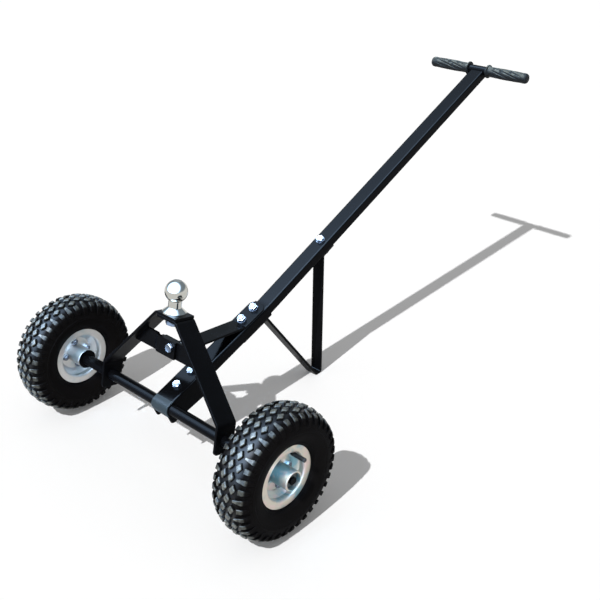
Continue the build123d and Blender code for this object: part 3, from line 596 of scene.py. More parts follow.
# Finishes
# Spans in metres over which a finish changes, from the axle's line or from a middle plane
# The nose spans bound the painted reflection on the bracket's nose
NOSE_INSIDE = (0.0148, 0.0155)
NOSE_OUTSIDE = (0.0188, 0.0178)
NOSE_ENDS = (0.0262, 0.0246)
DISH_EDGE = (0.052, 0.044)
FAR_HALF = (-0.01, 0.01)
LUG_START = (0.0245, 0.031)
GROOVE_END = (0.030, 0.016)
GROOVE_FOOT = (0.104, 0.114)

# How far a face has to look up to count as a top
PAINT_TOP = (0.5, 0.85)
ZINC_LIT_TOP = (0.45, 0.85)
GRIP_LIT_TOP = (0.15, 0.8)

# Shares of the tread's depth between which a block's top starts
BLOCK_TOP = (0.5, 0.85)

# Millimetres over a grip's end radius at which its ridges take the full light grey of dust and painted
# highlight
RIDGE_STAND = 0.4

# Values of a noise between which its patches start and are full
ROSE_PATCH = (0.48, 0.62)
BLUE_CLOUD = (0.5, 0.66)
CHROME_SCUFFED = (0.5, 0.8)
TREAD_SCUFFED = (0.4, 0.62)
GRIP_LIGHT_PATCH = (0.32, 0.62)
VALVE_DULL = (0.4, 0.65)

# How much a finish shines or gives way
FRAME_SHINE = 0.13
AXLE_SHINE = 0.07
# The lugs' share of dullness also darkens their tops as painted shade
LUG_DULL_AND_SHADED = 0.55
FAR_GREYNESS = 0.8
FAR_LESS_BLUE = 0.7
DISH_MORE_BLUE = 0.08

# How much lighter or darker a finish's second tone is
PAINT_HAZE = 2.2
RUBBER_BLOOM = 1.8
TREAD_SCUFF = 0.22

# Second tones
ZINC_TINT = (0.87, 0.91, 0.98)
CHROME_SCUFF = (0.44, 0.44, 0.41)
# Dark steel tones, painted shade for the parts in and around the hub's recess
STEEL = (0.10, 0.10, 0.09)
STEEL_DARKER = (0.05, 0.05, 0.05)
VALVE_BLACK = (0.012, 0.012, 0.012)


def times(values, factor):
    """A colour made lighter or darker, or a span made longer."""
    return tuple(factor * value for value in values)


def paint_finish(colours, name, shine):
    """Enamel with orange peel, wiped to a gloss on top and dull on sides and undersides, with a painted
    sky reflection in a lighter colour on the bracket's nose.
    """
    material, shader = new_shader(name)
    place = shader.place()
    haze = shader.noise(place, size=0.09, detail=4.0, rough=0.6)
    speck = shader.noise(place, size=0.0012)
    peel = shader.bump(shader.noise(place, size=0.0035), depth=0.00005)
    tone = shader.mix(haze, colours.paint, times(colours.paint, PAINT_HAZE))
    # Painted reflection of the sky on the bracket's rolled nose
    tone = shader.mix(nose_sheen_mask(shader, place), tone, colours.nose_sheen)
    gloss = shader.shade(
        base_color=tone, roughness=0.07 + 0.06 * haze + 0.03 * speck, specular=shine, normal=peel,
    )
    dull = shader.shade(
        base_color=tone, roughness=0.3 + 0.1 * haze, specular=0.02, normal=peel,
    )
    shader.finish(shader.blend(shader.upward().smooth_step(*PAINT_TOP), dull, gloss))
    return material


def nose_sheen_mask(shader, place):
    """1 on the bracket's rolled nose over the axle, where a lighter colour paints the sky's reflection.
    """
    radius = shader.radius_about(place, AXLE)
    roll = radius.smooth_step(*NOSE_INSIDE) * radius.smooth_step(*NOSE_OUTSIDE)
    return roll * shader.from_middle(place).smooth_step(*NOSE_ENDS)


def zinc_finish(colours, name, bright):
    """Zinc with a fine grain and faint cloudy tints, bright on top, with painted shade darkening the
    flanks.
    """
    material, shader = new_shader(name)
    place = shader.place()
    cloud = shader.noise(place, size=0.008, detail=3.0)
    grain = shader.noise(place, size=0.0007)
    tint = shader.mix(cloud, bright, tuple(part * tint for part, tint in zip(bright, ZINC_TINT)))
    shader.surface(
        # Painted shade: the flanks darker than the upward tops
        base_color=shader.mix(shader.upward().smooth_step(*ZINC_LIT_TOP), colours.zinc_flank_shade, tint),
        metallic=1.0,
        roughness=0.36 + 0.2 * grain * cloud,
        normal=shader.bump(grain, depth=0.00002),
    )
    return material


def rim_finish(colours):
    """Zinc-plated pressed steel with blue and rosy clouds; the far wheel is greyer."""
    material, shader = new_shader("rim_zinc")
    place = shader.place()
    cloud = shader.noise(place, size=0.035, detail=3.0, rough=0.55)
    patch = shader.noise(place, size=0.016)
    fine = shader.noise(place, size=0.0011, detail=3.0)
    far = shader.parts(place)[1].smooth_step(*FAR_HALF)
    dish = shader.radius_about(place, AXLE).smooth_step(*DISH_EDGE)
    warm = shader.mix(patch.smooth_step(*ROSE_PATCH), colours.rim_zinc, colours.rim_rose)
    warm = shader.mix(FAR_GREYNESS * far, warm, colours.rim_grey)
    blue = (cloud + DISH_MORE_BLUE * dish).smooth_step(*BLUE_CLOUD) * (1.0 - FAR_LESS_BLUE * far)
    shader.surface(
        base_color=shader.mix(blue, warm, colours.rim_blue),
        metallic=1.0,
        roughness=0.36 + 0.12 * cloud + 0.08 * fine,
        normal=shader.bump(fine, depth=0.00002),
    )
    return material


def chrome_finish(colours):
    """Chrome plate with hair-fine scuffs."""
    material, shader = new_shader("chrome")
    place = shader.place()
    scuff = shader.noise(place, size=0.004, detail=5.0, rough=0.7)
    fine = shader.noise(place, size=0.0009)
    shader.surface(
        base_color=shader.mix(scuff, colours.chrome, CHROME_SCUFF),
        metallic=1.0,
        roughness=0.05 + 0.12 * scuff.smooth_step(*CHROME_SCUFFED),
        normal=shader.bump(fine, depth=0.000008),
    )
    return material


def steel_finish():
    """Steel painted dark as shade for the parts in the hub's recess, with a cloudy tone and a sheen."""
    material, shader = new_shader("bearing_steel")
    cloud = shader.noise(shader.place(), size=0.006, detail=3.0)
    shader.surface(
        base_color=shader.mix(cloud, STEEL, STEEL_DARKER),
        metallic=1.0,
        roughness=0.25 + 0.2 * cloud,
        normal=shader.bump(cloud, depth=0.00003),
    )
    return material


def tyre_finish(colours, sizes):
    """New rubber: dull black sides, shinier grooves, and tread tops lighter than the grooves in a grey
    that is part dust and part painted light, dimmer on the shoulder lugs as painted shade.
    """
    material, shader = new_shader("tyre")
    place = shader.place()
    radius = shader.radius_about(place, AXLE)
    across = shader.math("ABSOLUTE", shader.from_middle(place) - WHEEL_OUT)
    depth = sizes.tread_depth * MM
    stand = radius + across * across / (2 * sizes.crown_arc() * MM) - (AXLE.z - depth)
    bloom = shader.noise(place, size=0.02, detail=4.0, rough=0.6)
    scuff = shader.noise(place, size=0.006, detail=4.0, rough=0.65)
    grain = shader.bump(shader.noise(place, size=0.0008), depth=0.00008)
    black = shader.mix(bloom, colours.rubber, times(colours.rubber, RUBBER_BLOOM))
    scuffed_dust_and_sheen = times(colours.tread, TREAD_SCUFF)
    dust_and_sheen = shader.mix(scuff.smooth_step(*TREAD_SCUFFED), colours.tread, scuffed_dust_and_sheen)
    lugs = across.smooth_step(*LUG_START)
    # Raised tops get the light grey, part dust and part painted light; lugs get less of it as painted
    # shade on the shoulder
    tops = stand.smooth_step(*times(BLOCK_TOP, depth)) * (1.0 - LUG_DULL_AND_SHADED * lugs)
    grooves = across.smooth_step(*GROOVE_END) * radius.smooth_step(*GROOVE_FOOT)
    side = shader.shade(
        base_color=black, roughness=0.45 + 0.14 * bloom, specular=0.012, normal=grain,
    )
    groove = shader.shade(
        base_color=black, roughness=0.26 + 0.2 * scuff, specular=0.2, normal=grain,
    )
    block = shader.shade(
        base_color=dust_and_sheen, roughness=0.24 + 0.22 * scuff, specular=0.56, normal=grain,
    )
    shader.finish(shader.blend(tops, shader.blend(grooves, side, groove), block))
    return material


def grip_finish(colours, sizes):
    """Black rubber with black grooves, and ridges on top painted a light grey that is part dust and
    wear, part painted highlight.
    """
    material, shader = new_shader("grip_rubber")
    place = shader.place()
    radius = shader.radius_about(place, middle_of("tee_bar"))
    patch = shader.noise(place, size=0.011, detail=3.0, rough=0.6)
    grain = shader.noise(place, size=0.0009)
    half_down = (sizes.radius - sizes.flute_depth / 2) * MM
    ridge = radius.smooth_step(half_down, (sizes.radius + RIDGE_STAND) * MM)
    # Painted highlight with dust and wear: light grey on upward ridges
    worn_and_lit = ridge * shader.upward().smooth_step(*GRIP_LIT_TOP) * patch.smooth_step(*GRIP_LIGHT_PATCH)
    shader.surface(
        base_color=shader.mix(worn_and_lit, colours.grip, colours.grip_dust_and_sheen),
        roughness=0.5 + 0.2 * patch,
        specular=0.12,
        normal=shader.bump(grain, depth=0.00006),
    )
    return material


def valve_finish():
    """Moulded black rubber and plastic with a fine grain."""
    material, shader = new_shader("valve_black")
    place = shader.place()
    cloud = shader.noise(place, size=0.008, detail=3.0)
    grain = shader.noise(place, size=0.0009)
    shader.surface(
        base_color=shader.mix(cloud, VALVE_BLACK, times(VALVE_BLACK, RUBBER_BLOOM)),
        roughness=0.35 + 0.4 * cloud.smooth_step(*VALVE_DULL),
        specular=0.3,
        normal=shader.bump(grain, depth=0.00006),
    )
    return material


# Operators
class DOLLY_OT_frame_finishes(Operator):
    """Paints the frame, plates its fasteners and chromes its ball"""

    bl_idname = "dolly.frame_finishes"
    bl_label = "Frame finishes"

    def execute(self, context):
        colours = context.scene.dolly_colours
        wear(paint_finish(colours, "black_paint", FRAME_SHINE), *PAINTED)
        wear(paint_finish(colours, "axle_paint", AXLE_SHINE), "axle")
        zinc_finish(colours, "zinc", colours.zinc)
        wear(zinc_finish(colours, "washer_zinc", colours.washer_zinc), *PLATED)
        wear(chrome_finish(colours), "hitch_ball")
        grip_finish(colours, context.scene.dolly_grip)
        return {"FINISHED"}


class DOLLY_OT_wheel_finishes(Operator):
    """Gives the wheels their rubber, zinc and steel"""

    bl_idname = "dolly.wheel_finishes"
    bl_label = "Wheel finishes"

    def execute(self, context):
        colours = context.scene.dolly_colours
        rubber = tyre_finish(colours, context.scene.dolly_tyre)
        rim = rim_finish(colours)
        steel = steel_finish()
        wear(steel, *HUB_RECESS_PARTS)
        black = valve_finish()
        for side in SIDES:
            wear(rubber, f"inner_tube_{side}")
            wear(rim, f"rim_outer_{side}", f"rim_inner_{side}", f"hub_{side}")
            wear(steel, f"bearings_{side}")
            wear(black, f"valve_stem_{side}", f"valve_cap_{side}")
        return {"FINISHED"}


# Fasteners
# Shares of a bolt's size, of a thread's pitch and of a head
BOLT_POINT = 0.4
THREAD_DEPTH = 0.6
THREAD_CREST = 0.2
THREAD_END = 0.6
WASHER_FACE = 0.06
HEAD_DISH = 0.02
DISH_WIDTH = 0.86

# A nut's chamfer as a share of its size, its play in millimetres, and its locking collar
BORE_CHAMFER = 0.09
NUT_PLAY = 0.1
COLLAR_WIDTH = 0.92
COLLAR_ROUND = ((0.0, 0.5), (0.2, 0.12), (0.5, 0.0))
COLLAR_LIP = 0.3
COLLAR_SINK = 0.25


def bolt_rings(size, flats, head, length, pitch, thread):
    """Bolt standing on Z = 0: a chamfered head above and a threaded shank below."""
    crest = size / 2
    root = crest - THREAD_DEPTH * pitch
    round_face = flats / 2 * HEX_ROUND
    rings = [round_ring(radius, -length) for radius in (0, BOLT_POINT * size, root)]
    turns = int(thread / pitch)
    for turn in range(turns):
        foot = -length + (turn + 0.5) * pitch
        rings += [
            round_ring(crest, foot), round_ring(crest, foot + THREAD_CREST * pitch),
            round_ring(root, foot + pitch / 2),
        ]
    corner = head - (flats / 2 - round_face) * CHAMFER_SLOPE
    dish = head - HEAD_DISH * flats
    return rings + [
        round_ring(crest, -length + (turns + THREAD_END) * pitch),
        round_ring(crest, 0),
        round_ring(round_face, 0),
        round_ring(round_face, WASHER_FACE * head),
        hex_ring(flats, WASHER_FACE * head),
        hex_ring(flats, corner, -CHAMFER_SLOPE),
        round_ring(round_face, head),
        round_ring(flats / 2 * DISH_WIDTH, dish),
        round_ring(0, dish),
    ]


def nut_rings(size, flats, height, collar=0.0):
    """Nut standing on Z = 0 with chamfered ends; a collar adds a round locking top."""
    bore = size / 2 + NUT_PLAY
    chamfer = BORE_CHAMFER * size
    wide = size / 2 + chamfer
    body = height - collar
    sunk = height - COLLAR_SINK * collar
    round_face = flats / 2 * HEX_ROUND
    rings = [
        round_ring(bore, chamfer),
        round_ring(wide, 0),
        round_ring(round_face, 0),
        hex_ring(flats, 0, CHAMFER_SLOPE),
        hex_ring(flats, body, -CHAMFER_SLOPE),
        round_ring(round_face, body),
    ]
    if collar:
        outer = COLLAR_WIDTH * round_face
        rings.append(round_ring(outer, body))
        for inward, down in COLLAR_ROUND:
            rings.append(round_ring(outer - inward * collar, height - down * collar))
        rings.append(round_ring(wide + COLLAR_LIP, height))
    return rings + [round_ring(wide, sunk), round_ring(bore, sunk - chamfer), rings[0]]


class DOLLY_OT_fasteners(Operator):
    """Makes the bolts and nuts of the frame and the rims"""

    bl_idname = "dolly.fasteners"
    bl_label = "Fasteners"

    # Frame fasteners, in millimetres
    FRAME_BOLT = 10.0
    FRAME_FLATS = 17.0
    FRAME_HEAD = 6.4
    FRAME_NUT = 8.0
    FRAME_PITCH = 1.5
    FRAME_THREAD = 16.0
    LOCK_NUT = 10.0
    LOCK_COLLAR = 3.4

    # Rim fasteners
    RIM_COUNT = 4
    RIM_BOLT = 8.0
    RIM_FLATS = 13.0
    RIM_HEAD = 5.3
    RIM_NUT = 6.5
    RIM_PITCH = 1.25
    RIM_THREAD = 9.0
    RIM_FACE = 4.2
    RIM_PAST_NUT = 2.0

    # Ball nut, hanging under its washer
    BALL_SHANK = 19.0
    BALL_NUT = 10.7
    BALL_FLATS = 28.6
    BALL_NUT_UP = 191

    # Spots of the frame's bolts on their members, then seats of head and nut, and the shank's length
    BRACKET_SPOTS = (45, 88)
    BRACKET = (19.2, -15.2, 44.4)
    BRACE_SPOTS = (251, 290)
    BRACE = (-21.2, 22.2, 55.4)
    STAND_SPOT = 209
    STAND = (14, -18, 42.0)
    CROSS_UP = 136
    CROSS_ACROSS = -12
    CROSS = (-12, 5, 27.0)

    def execute(self, context):
        self.zinc = finish_named("zinc")
        self.pair("bracket", LOWER, self.BRACKET_SPOTS, LOWER.up, self.BRACKET)
        self.pair(
            "brace", LOWER, self.BRACE_SPOTS, -LOWER.up, self.BRACE, self.LOCK_NUT, self.LOCK_COLLAR
        )
        self.pair("stand", UPPER, (self.STAND_SPOT,), UPPER.up, self.STAND)
        front, back, shank = self.CROSS
        heads, nuts = (
            [LEAN.point(along, self.CROSS_UP, self.CROSS_ACROSS)] for along in (front, back)
        )
        self.bolt_and_nut("cross", heads, nuts, -LEAN.along, shank)
        rings = nut_rings(self.BALL_SHANK, self.BALL_FLATS, self.BALL_NUT)
        self.make("ball_nut", "frame", rings, [LEAN.point(0, self.BALL_NUT_UP)], -LEAN.up)
        for side in SIDES:
            self.rim_fasteners(side)
        return {"FINISHED"}

    def pair(self, name, member, spots, facing, seats, nut=FRAME_NUT, collar=0.0):
        """Bolts with their nuts at spots along a member."""
        head_seat, nut_seat, shank = seats
        heads = [member.point(spot, head_seat) for spot in spots]
        nuts = [member.point(spot, nut_seat) for spot in spots]
        self.bolt_and_nut(name, heads, nuts, facing, shank, nut, collar)

    def bolt_and_nut(self, name, heads, nuts, facing, shank, nut=FRAME_NUT, collar=0.0):
        """Frame bolts whose heads face one way, and nuts that face the other."""
        ending = "s" if len(heads) > 1 else ""
        bolt = bolt_rings(
            self.FRAME_BOLT, self.FRAME_FLATS, self.FRAME_HEAD, shank, self.FRAME_PITCH,
            self.FRAME_THREAD,
        )
        self.make(f"{name}_bolt{ending}", "frame", bolt, heads, facing)
        rings = nut_rings(self.FRAME_BOLT, self.FRAME_FLATS, nut, collar)
        self.make(f"{name}_nut{ending}", "frame", rings, nuts, -facing)

    def rim_fasteners(self, side):
        """Bolts and nuts that clamp a wheel's rim halves to its hub."""
        outward = Vector((0, OUTWARD[side], 0))
        low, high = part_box(f"rim_bolts_{side}")
        middle = middle_of(f"tyre_{side}")
        reach = (high.x - low.x) / 2 - self.RIM_FLATS / 2 / math.cos(SIXTH / 2) * MM
        turns = [math.tau * bolt / self.RIM_COUNT for bolt in range(self.RIM_COUNT)]
        spokes = [middle + Matrix.Rotation(turn, 3, "Y") @ Vector((reach, 0, 0)) for turn in turns]
        face = outward * self.RIM_FACE * MM
        length = 2 * self.RIM_FACE + self.RIM_NUT + self.RIM_PAST_NUT
        bolt = bolt_rings(
            self.RIM_BOLT, self.RIM_FLATS, self.RIM_HEAD, length, self.RIM_PITCH, self.RIM_THREAD
        )
        nut = nut_rings(self.RIM_BOLT, self.RIM_FLATS, self.RIM_NUT)
        body = f"wheel_{side}"
        self.make(f"rim_bolts_{side}", body, bolt, [spoke + face for spoke in spokes], outward)
        self.make(f"rim_nuts_{side}", body, nut, [spoke - face for spoke in spokes], -outward)

    def make(self, node, body, rings, spots, facing):
        """One piece that stands for a node's like fasteners."""
        bm = bmesh.new()
        for spot in spots:
            stack(bm, rings, seat(spot, facing))
        stand_for(finished(bm, f"zinc_{node}", self.zinc), body, "zinc", node)


# Tyres
class DOLLY_OT_tyres(Operator):
    """Makes the tyres: a hollow carcass with ribs, tread blocks and shoulder lugs"""

    bl_idname = "dolly.tyres"
    bl_label = "Tyres"

    # Profile, in millimetres
    WALL = 7.5
    RIM_LIP = 65.2
    RIM_EDGE = 29.4
    BEAD_HEEL = 27.0
    BEAD_TOE = 15.0
    BEAD_SEAT = 51.0
    SEAT_CHAMFER = 2.5

    # Steps round the wheel, along the profile's arcs and over rounded edges
    TURNS = 144
    CROWN_STEPS = 7
    SIDE_STEPS = 22
    INNER_SIDE_STEPS = 10
    INNER_CROWN_STEPS = 5
    BLOCK_BEVELS = 2
    LUG_BEVELS = 1

    # Meshing: distances in millimetres that count as none, and a lug's least share of its width
    SHARP_ANGLE = math.radians(13)
    WELD = 1e-3
    CORNER = 0.1
    NARROWEST_LUG = 0.5

    def execute(self, context):
        sizes = context.scene.dolly_tyre
        rubber = finish_named("tyre")
        for side in SIDES:
            low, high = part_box(f"tyre_{side}")
            self.radius = (high.z - low.z) / 2 / MM
            self.half = sizes.width / 2
            self.crown = self.radius - sizes.tread_depth
            self.shoulder = self.half - sizes.shoulder_inset
            self.shoulder_radius = self.crown - sizes.shoulder_drop
            self.arc = sizes.crown_arc()
            bm = bmesh.new()
            self.carcass(bm, sizes)
            self.blocks(bm, sizes)
            self.lugs(bm, sizes)
            bmesh.ops.scale(bm, vec=(MM, MM, MM), verts=bm.verts)
            bmesh.ops.translate(bm, verts=bm.verts, vec=(low + high) / 2)
            tyre = finished(bm, f"knobbly_tyre_{side}", rubber, self.SHARP_ANGLE)
            stand_for(tyre, f"wheel_{side}", "tyre", f"tyre_{side}")
        return {"FINISHED"}

    def swing(self, bm, vert, middle, end, steps):
        """Spins a profile vertex through an arc by way of a middle point; gives the last one."""
        start = Vector((vert.co.y, vert.co.z))
        centre = arc_centre(start, Vector(middle), Vector(end))
        turn = (start - centre).angle_signed(Vector(end) - centre)
        made = bmesh.ops.spin(
            bm, geom=[vert], cent=(0, *centre), axis=(1, 0, 0), angle=-turn, steps=steps
        )
        return verts_in(made["geom_last"])[0]

    def run(self, bm, vert, *spots):
        """Carries the profile on to straight spots; gives the last vertex."""
        for spot in spots:
            following = bm.verts.new((0, *spot))
            bm.edges.new((vert, following))
            vert = following
        return vert

    def carcass(self, bm, sizes):
        """Hollow ring without its tread: half a profile, mirrored, spun and ribbed."""
        widest = (self.RIM_LIP + self.shoulder_radius) / 2
        drop_half = self.crown_drop(self.shoulder / 2)
        vert = bm.verts.new((0, 0, self.crown))
        outer_half = (self.shoulder / 2, self.crown - drop_half)
        shoulder = (self.shoulder, self.shoulder_radius)
        vert = self.swing(bm, vert, outer_half, shoulder, self.CROWN_STEPS)
        rim_edge = (self.RIM_EDGE, self.RIM_LIP)
        vert = self.swing(bm, vert, (self.half, widest), rim_edge, self.SIDE_STEPS)
        vert = self.run(
            bm, vert, (self.BEAD_HEEL, self.RIM_LIP),
            (self.BEAD_HEEL, self.BEAD_SEAT + self.SEAT_CHAMFER),
            (self.BEAD_HEEL - self.SEAT_CHAMFER, self.BEAD_SEAT), (self.BEAD_TOE, self.BEAD_SEAT),
            (self.BEAD_HEEL - self.WALL, self.RIM_LIP - self.WALL),
        )
        inner_wide = (self.half - self.WALL, widest)
        inner_shoulder = (self.shoulder - self.WALL / 2, self.shoulder_radius - self.WALL)
        vert = self.swing(bm, vert, inner_wide, inner_shoulder, self.INNER_SIDE_STEPS)
        inner_half = (self.shoulder / 2, self.crown - self.WALL - drop_half)
        inner_crown = (0, self.crown - self.WALL)
        self.swing(bm, vert, inner_half, inner_crown, self.INNER_CROWN_STEPS)
        profile = bm.verts[:] + bm.edges[:]
        bmesh.ops.mirror(bm, geom=profile, axis="Y", merge_dist=self.WELD)
        bmesh.ops.remove_doubles(bm, verts=bm.verts, dist=self.WELD)
        bmesh.ops.spin(
            bm, geom=bm.verts[:] + bm.edges[:], cent=(0, 0, 0), axis=(0, 1, 0),
            angle=math.tau, steps=self.TURNS, use_merge=True,
        )
        bmesh.ops.remove_doubles(bm, verts=bm.verts, dist=self.WELD)
        bmesh.ops.recalc_face_normals(bm, faces=bm.faces)
        for inner, outer in sizes.ribs():
            band = [face for face in bm.faces if self.on_side(face, inner, outer)]
            bmesh.ops.inset_region(
                bm, faces=band, thickness=sizes.rib_stand, depth=sizes.rib_stand,
                use_even_offset=True,
            )

    def on_side(self, face, inner, outer):
        """Whether a face lies on the tyre's outside, past the rim, between two radii."""
        middle = face.calc_center_median()
        outside = abs(middle.y) > self.RIM_EDGE and face.normal.y * middle.y > 0
        return outside and inner < math.hypot(middle.x, middle.z) < outer

    def crown_drop(self, across):
        """Fall of the crown's arc at a distance from the middle."""
        return self.arc - math.sqrt(self.arc**2 - across**2)

    def round_edges(self, bm, verts, level, offset, segments):
        """Bevels a shape's edges that reach above a level; gives all the shape's vertices."""
        edges = [
            edge for edge in edges_of(verts) if max(end.co.z for end in edge.verts) > level
        ]
        made = bmesh.ops.bevel(
            bm, geom=edges, offset=offset, segments=segments, profile=0.5,
            affect="EDGES", material=-1, clamp_overlap=True,
        )
        fresh = {vert for face in made["faces"] for vert in face.verts}
        return list(fresh | {vert for vert in verts if vert.is_valid})

    def round_about(self, bm, verts, count):
        """Repeats a shape round the wheel."""
        faces = list({face for vert in verts for face in vert.link_faces})
        bmesh.ops.spin(
            bm, geom=list(verts) + edges_of(verts) + faces, cent=(0, 0, 0), axis=(0, 1, 0),
            angle=math.tau * (count - 1) / count, steps=count - 1, use_duplicate=True,
        )

    def blocks(self, bm, sizes):
        """Staggered rows of diamond blocks on the crown."""
        step = math.tau / sizes.block_count
        depth = sizes.tread_depth + self.WALL / 2
        diamond = Matrix.Rotation(math.pi / 4, 4, "Z")
        across_corners = math.sqrt(2)
        spread = Vector((
            sizes.block_length / across_corners, sizes.block_width / across_corners, depth
        ))
        for row in range(-sizes.side_rows, sizes.side_rows + 1):
            across = row * sizes.row_step
            turn = row % 2 * step / 2
            lean = math.asin(across / self.arc)
            verts = bmesh.ops.create_cube(bm, size=1.0, matrix=diamond)["verts"]
            bmesh.ops.scale(bm, verts=verts, vec=spread)
            for vert in verts:
                flare = sizes.block_taper if vert.co.z > 0 else 1.0
                vert.co = Vector((vert.co.x * flare, vert.co.y * flare, vert.co.z - depth / 2))
            verts = self.round_edges(bm, verts, -depth / 2, sizes.block_round, self.BLOCK_BEVELS)
            place = (
                Matrix.Rotation(turn, 4, "Y")
                @ Matrix.Translation((0, across, self.radius - self.crown_drop(across)))
                @ Matrix.Rotation(-lean, 4, "X")
            )
            bmesh.ops.transform(bm, matrix=place, verts=verts)
            self.round_about(bm, verts, sizes.block_count)

    def lugs(self, bm, sizes):
        """Long and short lugs in turn, over each shoulder and down the side."""
        step = math.tau / sizes.block_count
        kinds = (
            (sizes.long_lug, sizes.long_inset, sizes.lug_tip, step / 2),
            (sizes.short_lug, sizes.lug_inset, 1.0, 0.0),
        )
        for facing in (-1, 1):
            for reach, inset, tip, turn in kinds:
                verts = self.lug(bm, sizes, facing, reach, inset, tip)
                bmesh.ops.rotate(
                    bm, verts=verts, cent=(0, 0, 0), matrix=Matrix.Rotation(turn, 3, "Y")
                )
                self.round_about(bm, verts, sizes.block_count)

    def lug(self, bm, sizes, facing, reach, inset, tip):
        """One lug at the top of the wheel; gives its vertices."""
        top = self.shoulder_radius + sizes.tread_depth
        inner = self.shoulder - inset
        foot = top - reach
        outline = (
            (inner, self.radius - self.crown_drop(inner)),
            (self.shoulder, top),
            (self.shoulder + sizes.tread_depth - sizes.lug_stand, self.shoulder_radius),
            (self.half, foot),
            (self.shoulder + sizes.lug_stand, foot),
            (inner, self.crown - self.crown_drop(inner) - sizes.lug_stand),
        )
        corners = [
            bm.verts.new((-sizes.lug_length / 2, facing * across, up)) for across, up in outline
        ]
        face = bm.faces.new(corners)
        far = verts_in(bmesh.ops.extrude_face_region(bm, geom=[face])["geom"])
        bmesh.ops.translate(bm, verts=far, vec=(sizes.lug_length, 0, 0))
        verts = corners + far
        for vert in verts:
            narrow = 1.0 - sizes.lug_taper * (top - vert.co.z) / reach
            at_tip = abs(vert.co.y) < inner + self.CORNER
            vert.co.x *= tip if at_tip else min(1.0, max(self.NARROWEST_LUG, narrow))
        level = foot - self.CORNER
        return self.round_edges(bm, verts, level, sizes.block_round / 2, self.LUG_BEVELS)


def arc_centre(first, second, third):
    """Centre of the circle through three points in a plane."""
    a, b = second - first, third - first
    cross = 2 * (a.x * b.y - a.y * b.x)
    square_a, square_b = a.length_squared, b.length_squared
    return first + Vector((
        (b.y * square_a - a.y * square_b) / cross, (a.x * square_b - b.x * square_a) / cross
    ))


# Grips
class DOLLY_OT_grips(Operator):
    """Makes the fluted rubber grips on the tee bar"""

    bl_idname = "dolly.grips"
    bl_label = "Grips"

    # Sizes in millimetres; pairs go in from the flange or out from the body, then along the grip
    BORE = 11.05
    FLANGE = 4.0
    FLANGE_EDGE = ((1.0, 0.0), (0.3, 0.3), (0.0, 1.0))
    NECK = ((1.2, 0.4), (0.2, 1.6))
    END_WALL = 2.8
    END_ROUND = 6.3
    END_SWELL = 0.3

    # Share of the plain end where it swells, and how fast the flutes deepen from either end
    SWELL_AT = 0.6
    FADE = 5

    # Steps round the grip and over its end
    STEPS = 80
    END_STEPS = 6

    def execute(self, context):
        sizes = context.scene.dolly_grip
        rubber = finish_named("grip_rubber")
        for side in SIDES:
            low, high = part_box(f"grip_{side}")
            outward = OUTWARD[side]
            root = low.y if outward > 0 else high.y
            middle = Vector(((low.x + high.x) / 2, root, (low.z + high.z) / 2))
            length = (high.y - low.y) / MM
            flange = min(high.x - low.x, high.z - low.z) / 2 / MM
            bm = bmesh.new()
            stack(
                bm, self.rings(sizes, length, flange),
                seat(middle, Vector((0, outward, 0))), self.STEPS,
            )
            stand_for(
                finished(bm, f"fluted_grip_{side}", rubber), "frame", "grip_rubber", f"grip_{side}"
            )
        return {"FINISHED"}

    def rings(self, sizes, length, flange):
        """Rings from the bore's end out over the flange and along the flutes to the tip."""
        bore_end = length - self.END_WALL
        body = sizes.radius
        tip = length - self.END_ROUND
        rings = [round_ring(0, bore_end), round_ring(self.BORE, bore_end), round_ring(self.BORE, 0)]
        for inward, up in self.FLANGE_EDGE:
            rings.append(round_ring(flange - inward, up))
        for inward, down in reversed(self.FLANGE_EDGE):
            rings.append(round_ring(flange - inward, self.FLANGE - down))
        for outward, up in self.NECK:
            rings.append(round_ring(body + outward, self.FLANGE + up))
        first = self.FLANGE + sizes.plain_start
        last = tip - sizes.plain_end
        rows = int((last - first) / sizes.row_step)
        for row in range(rows + 1):
            share = row / rows
            height = first + share * (last - first)
            swell = sizes.barrel * math.sin(math.pi * share)
            depth = sizes.flute_depth * min(1.0, self.FADE * share, self.FADE * (1 - share))
            rings.append(flute_ring(body + swell, height, depth, sizes.flutes, sizes.twist * share))
        rings.append(round_ring(body + self.END_SWELL, tip - self.SWELL_AT * sizes.plain_end))
        rings.append(round_ring(body, tip))
        for step in range(1, self.END_STEPS + 1):
            angle = step * math.pi / 2 / self.END_STEPS
            inward = self.END_ROUND * (1 - math.cos(angle))
            rings.append(round_ring(body - inward, tip + self.END_ROUND * math.sin(angle)))
        return rings + [round_ring(0, length)]


# Stage
WHITE = (1.0, 1.0, 1.0)


def downward(heading, dip):
    """Direction that turns from +X towards +Y and dips below level."""
    flat = math.cos(dip)
    return Vector((flat * math.cos(heading), flat * math.sin(heading), -math.sin(dip)))


def sun_travel(stage):
    """Way the sunlight travels."""
    return downward(stage.sun_heading, stage.sun_height)


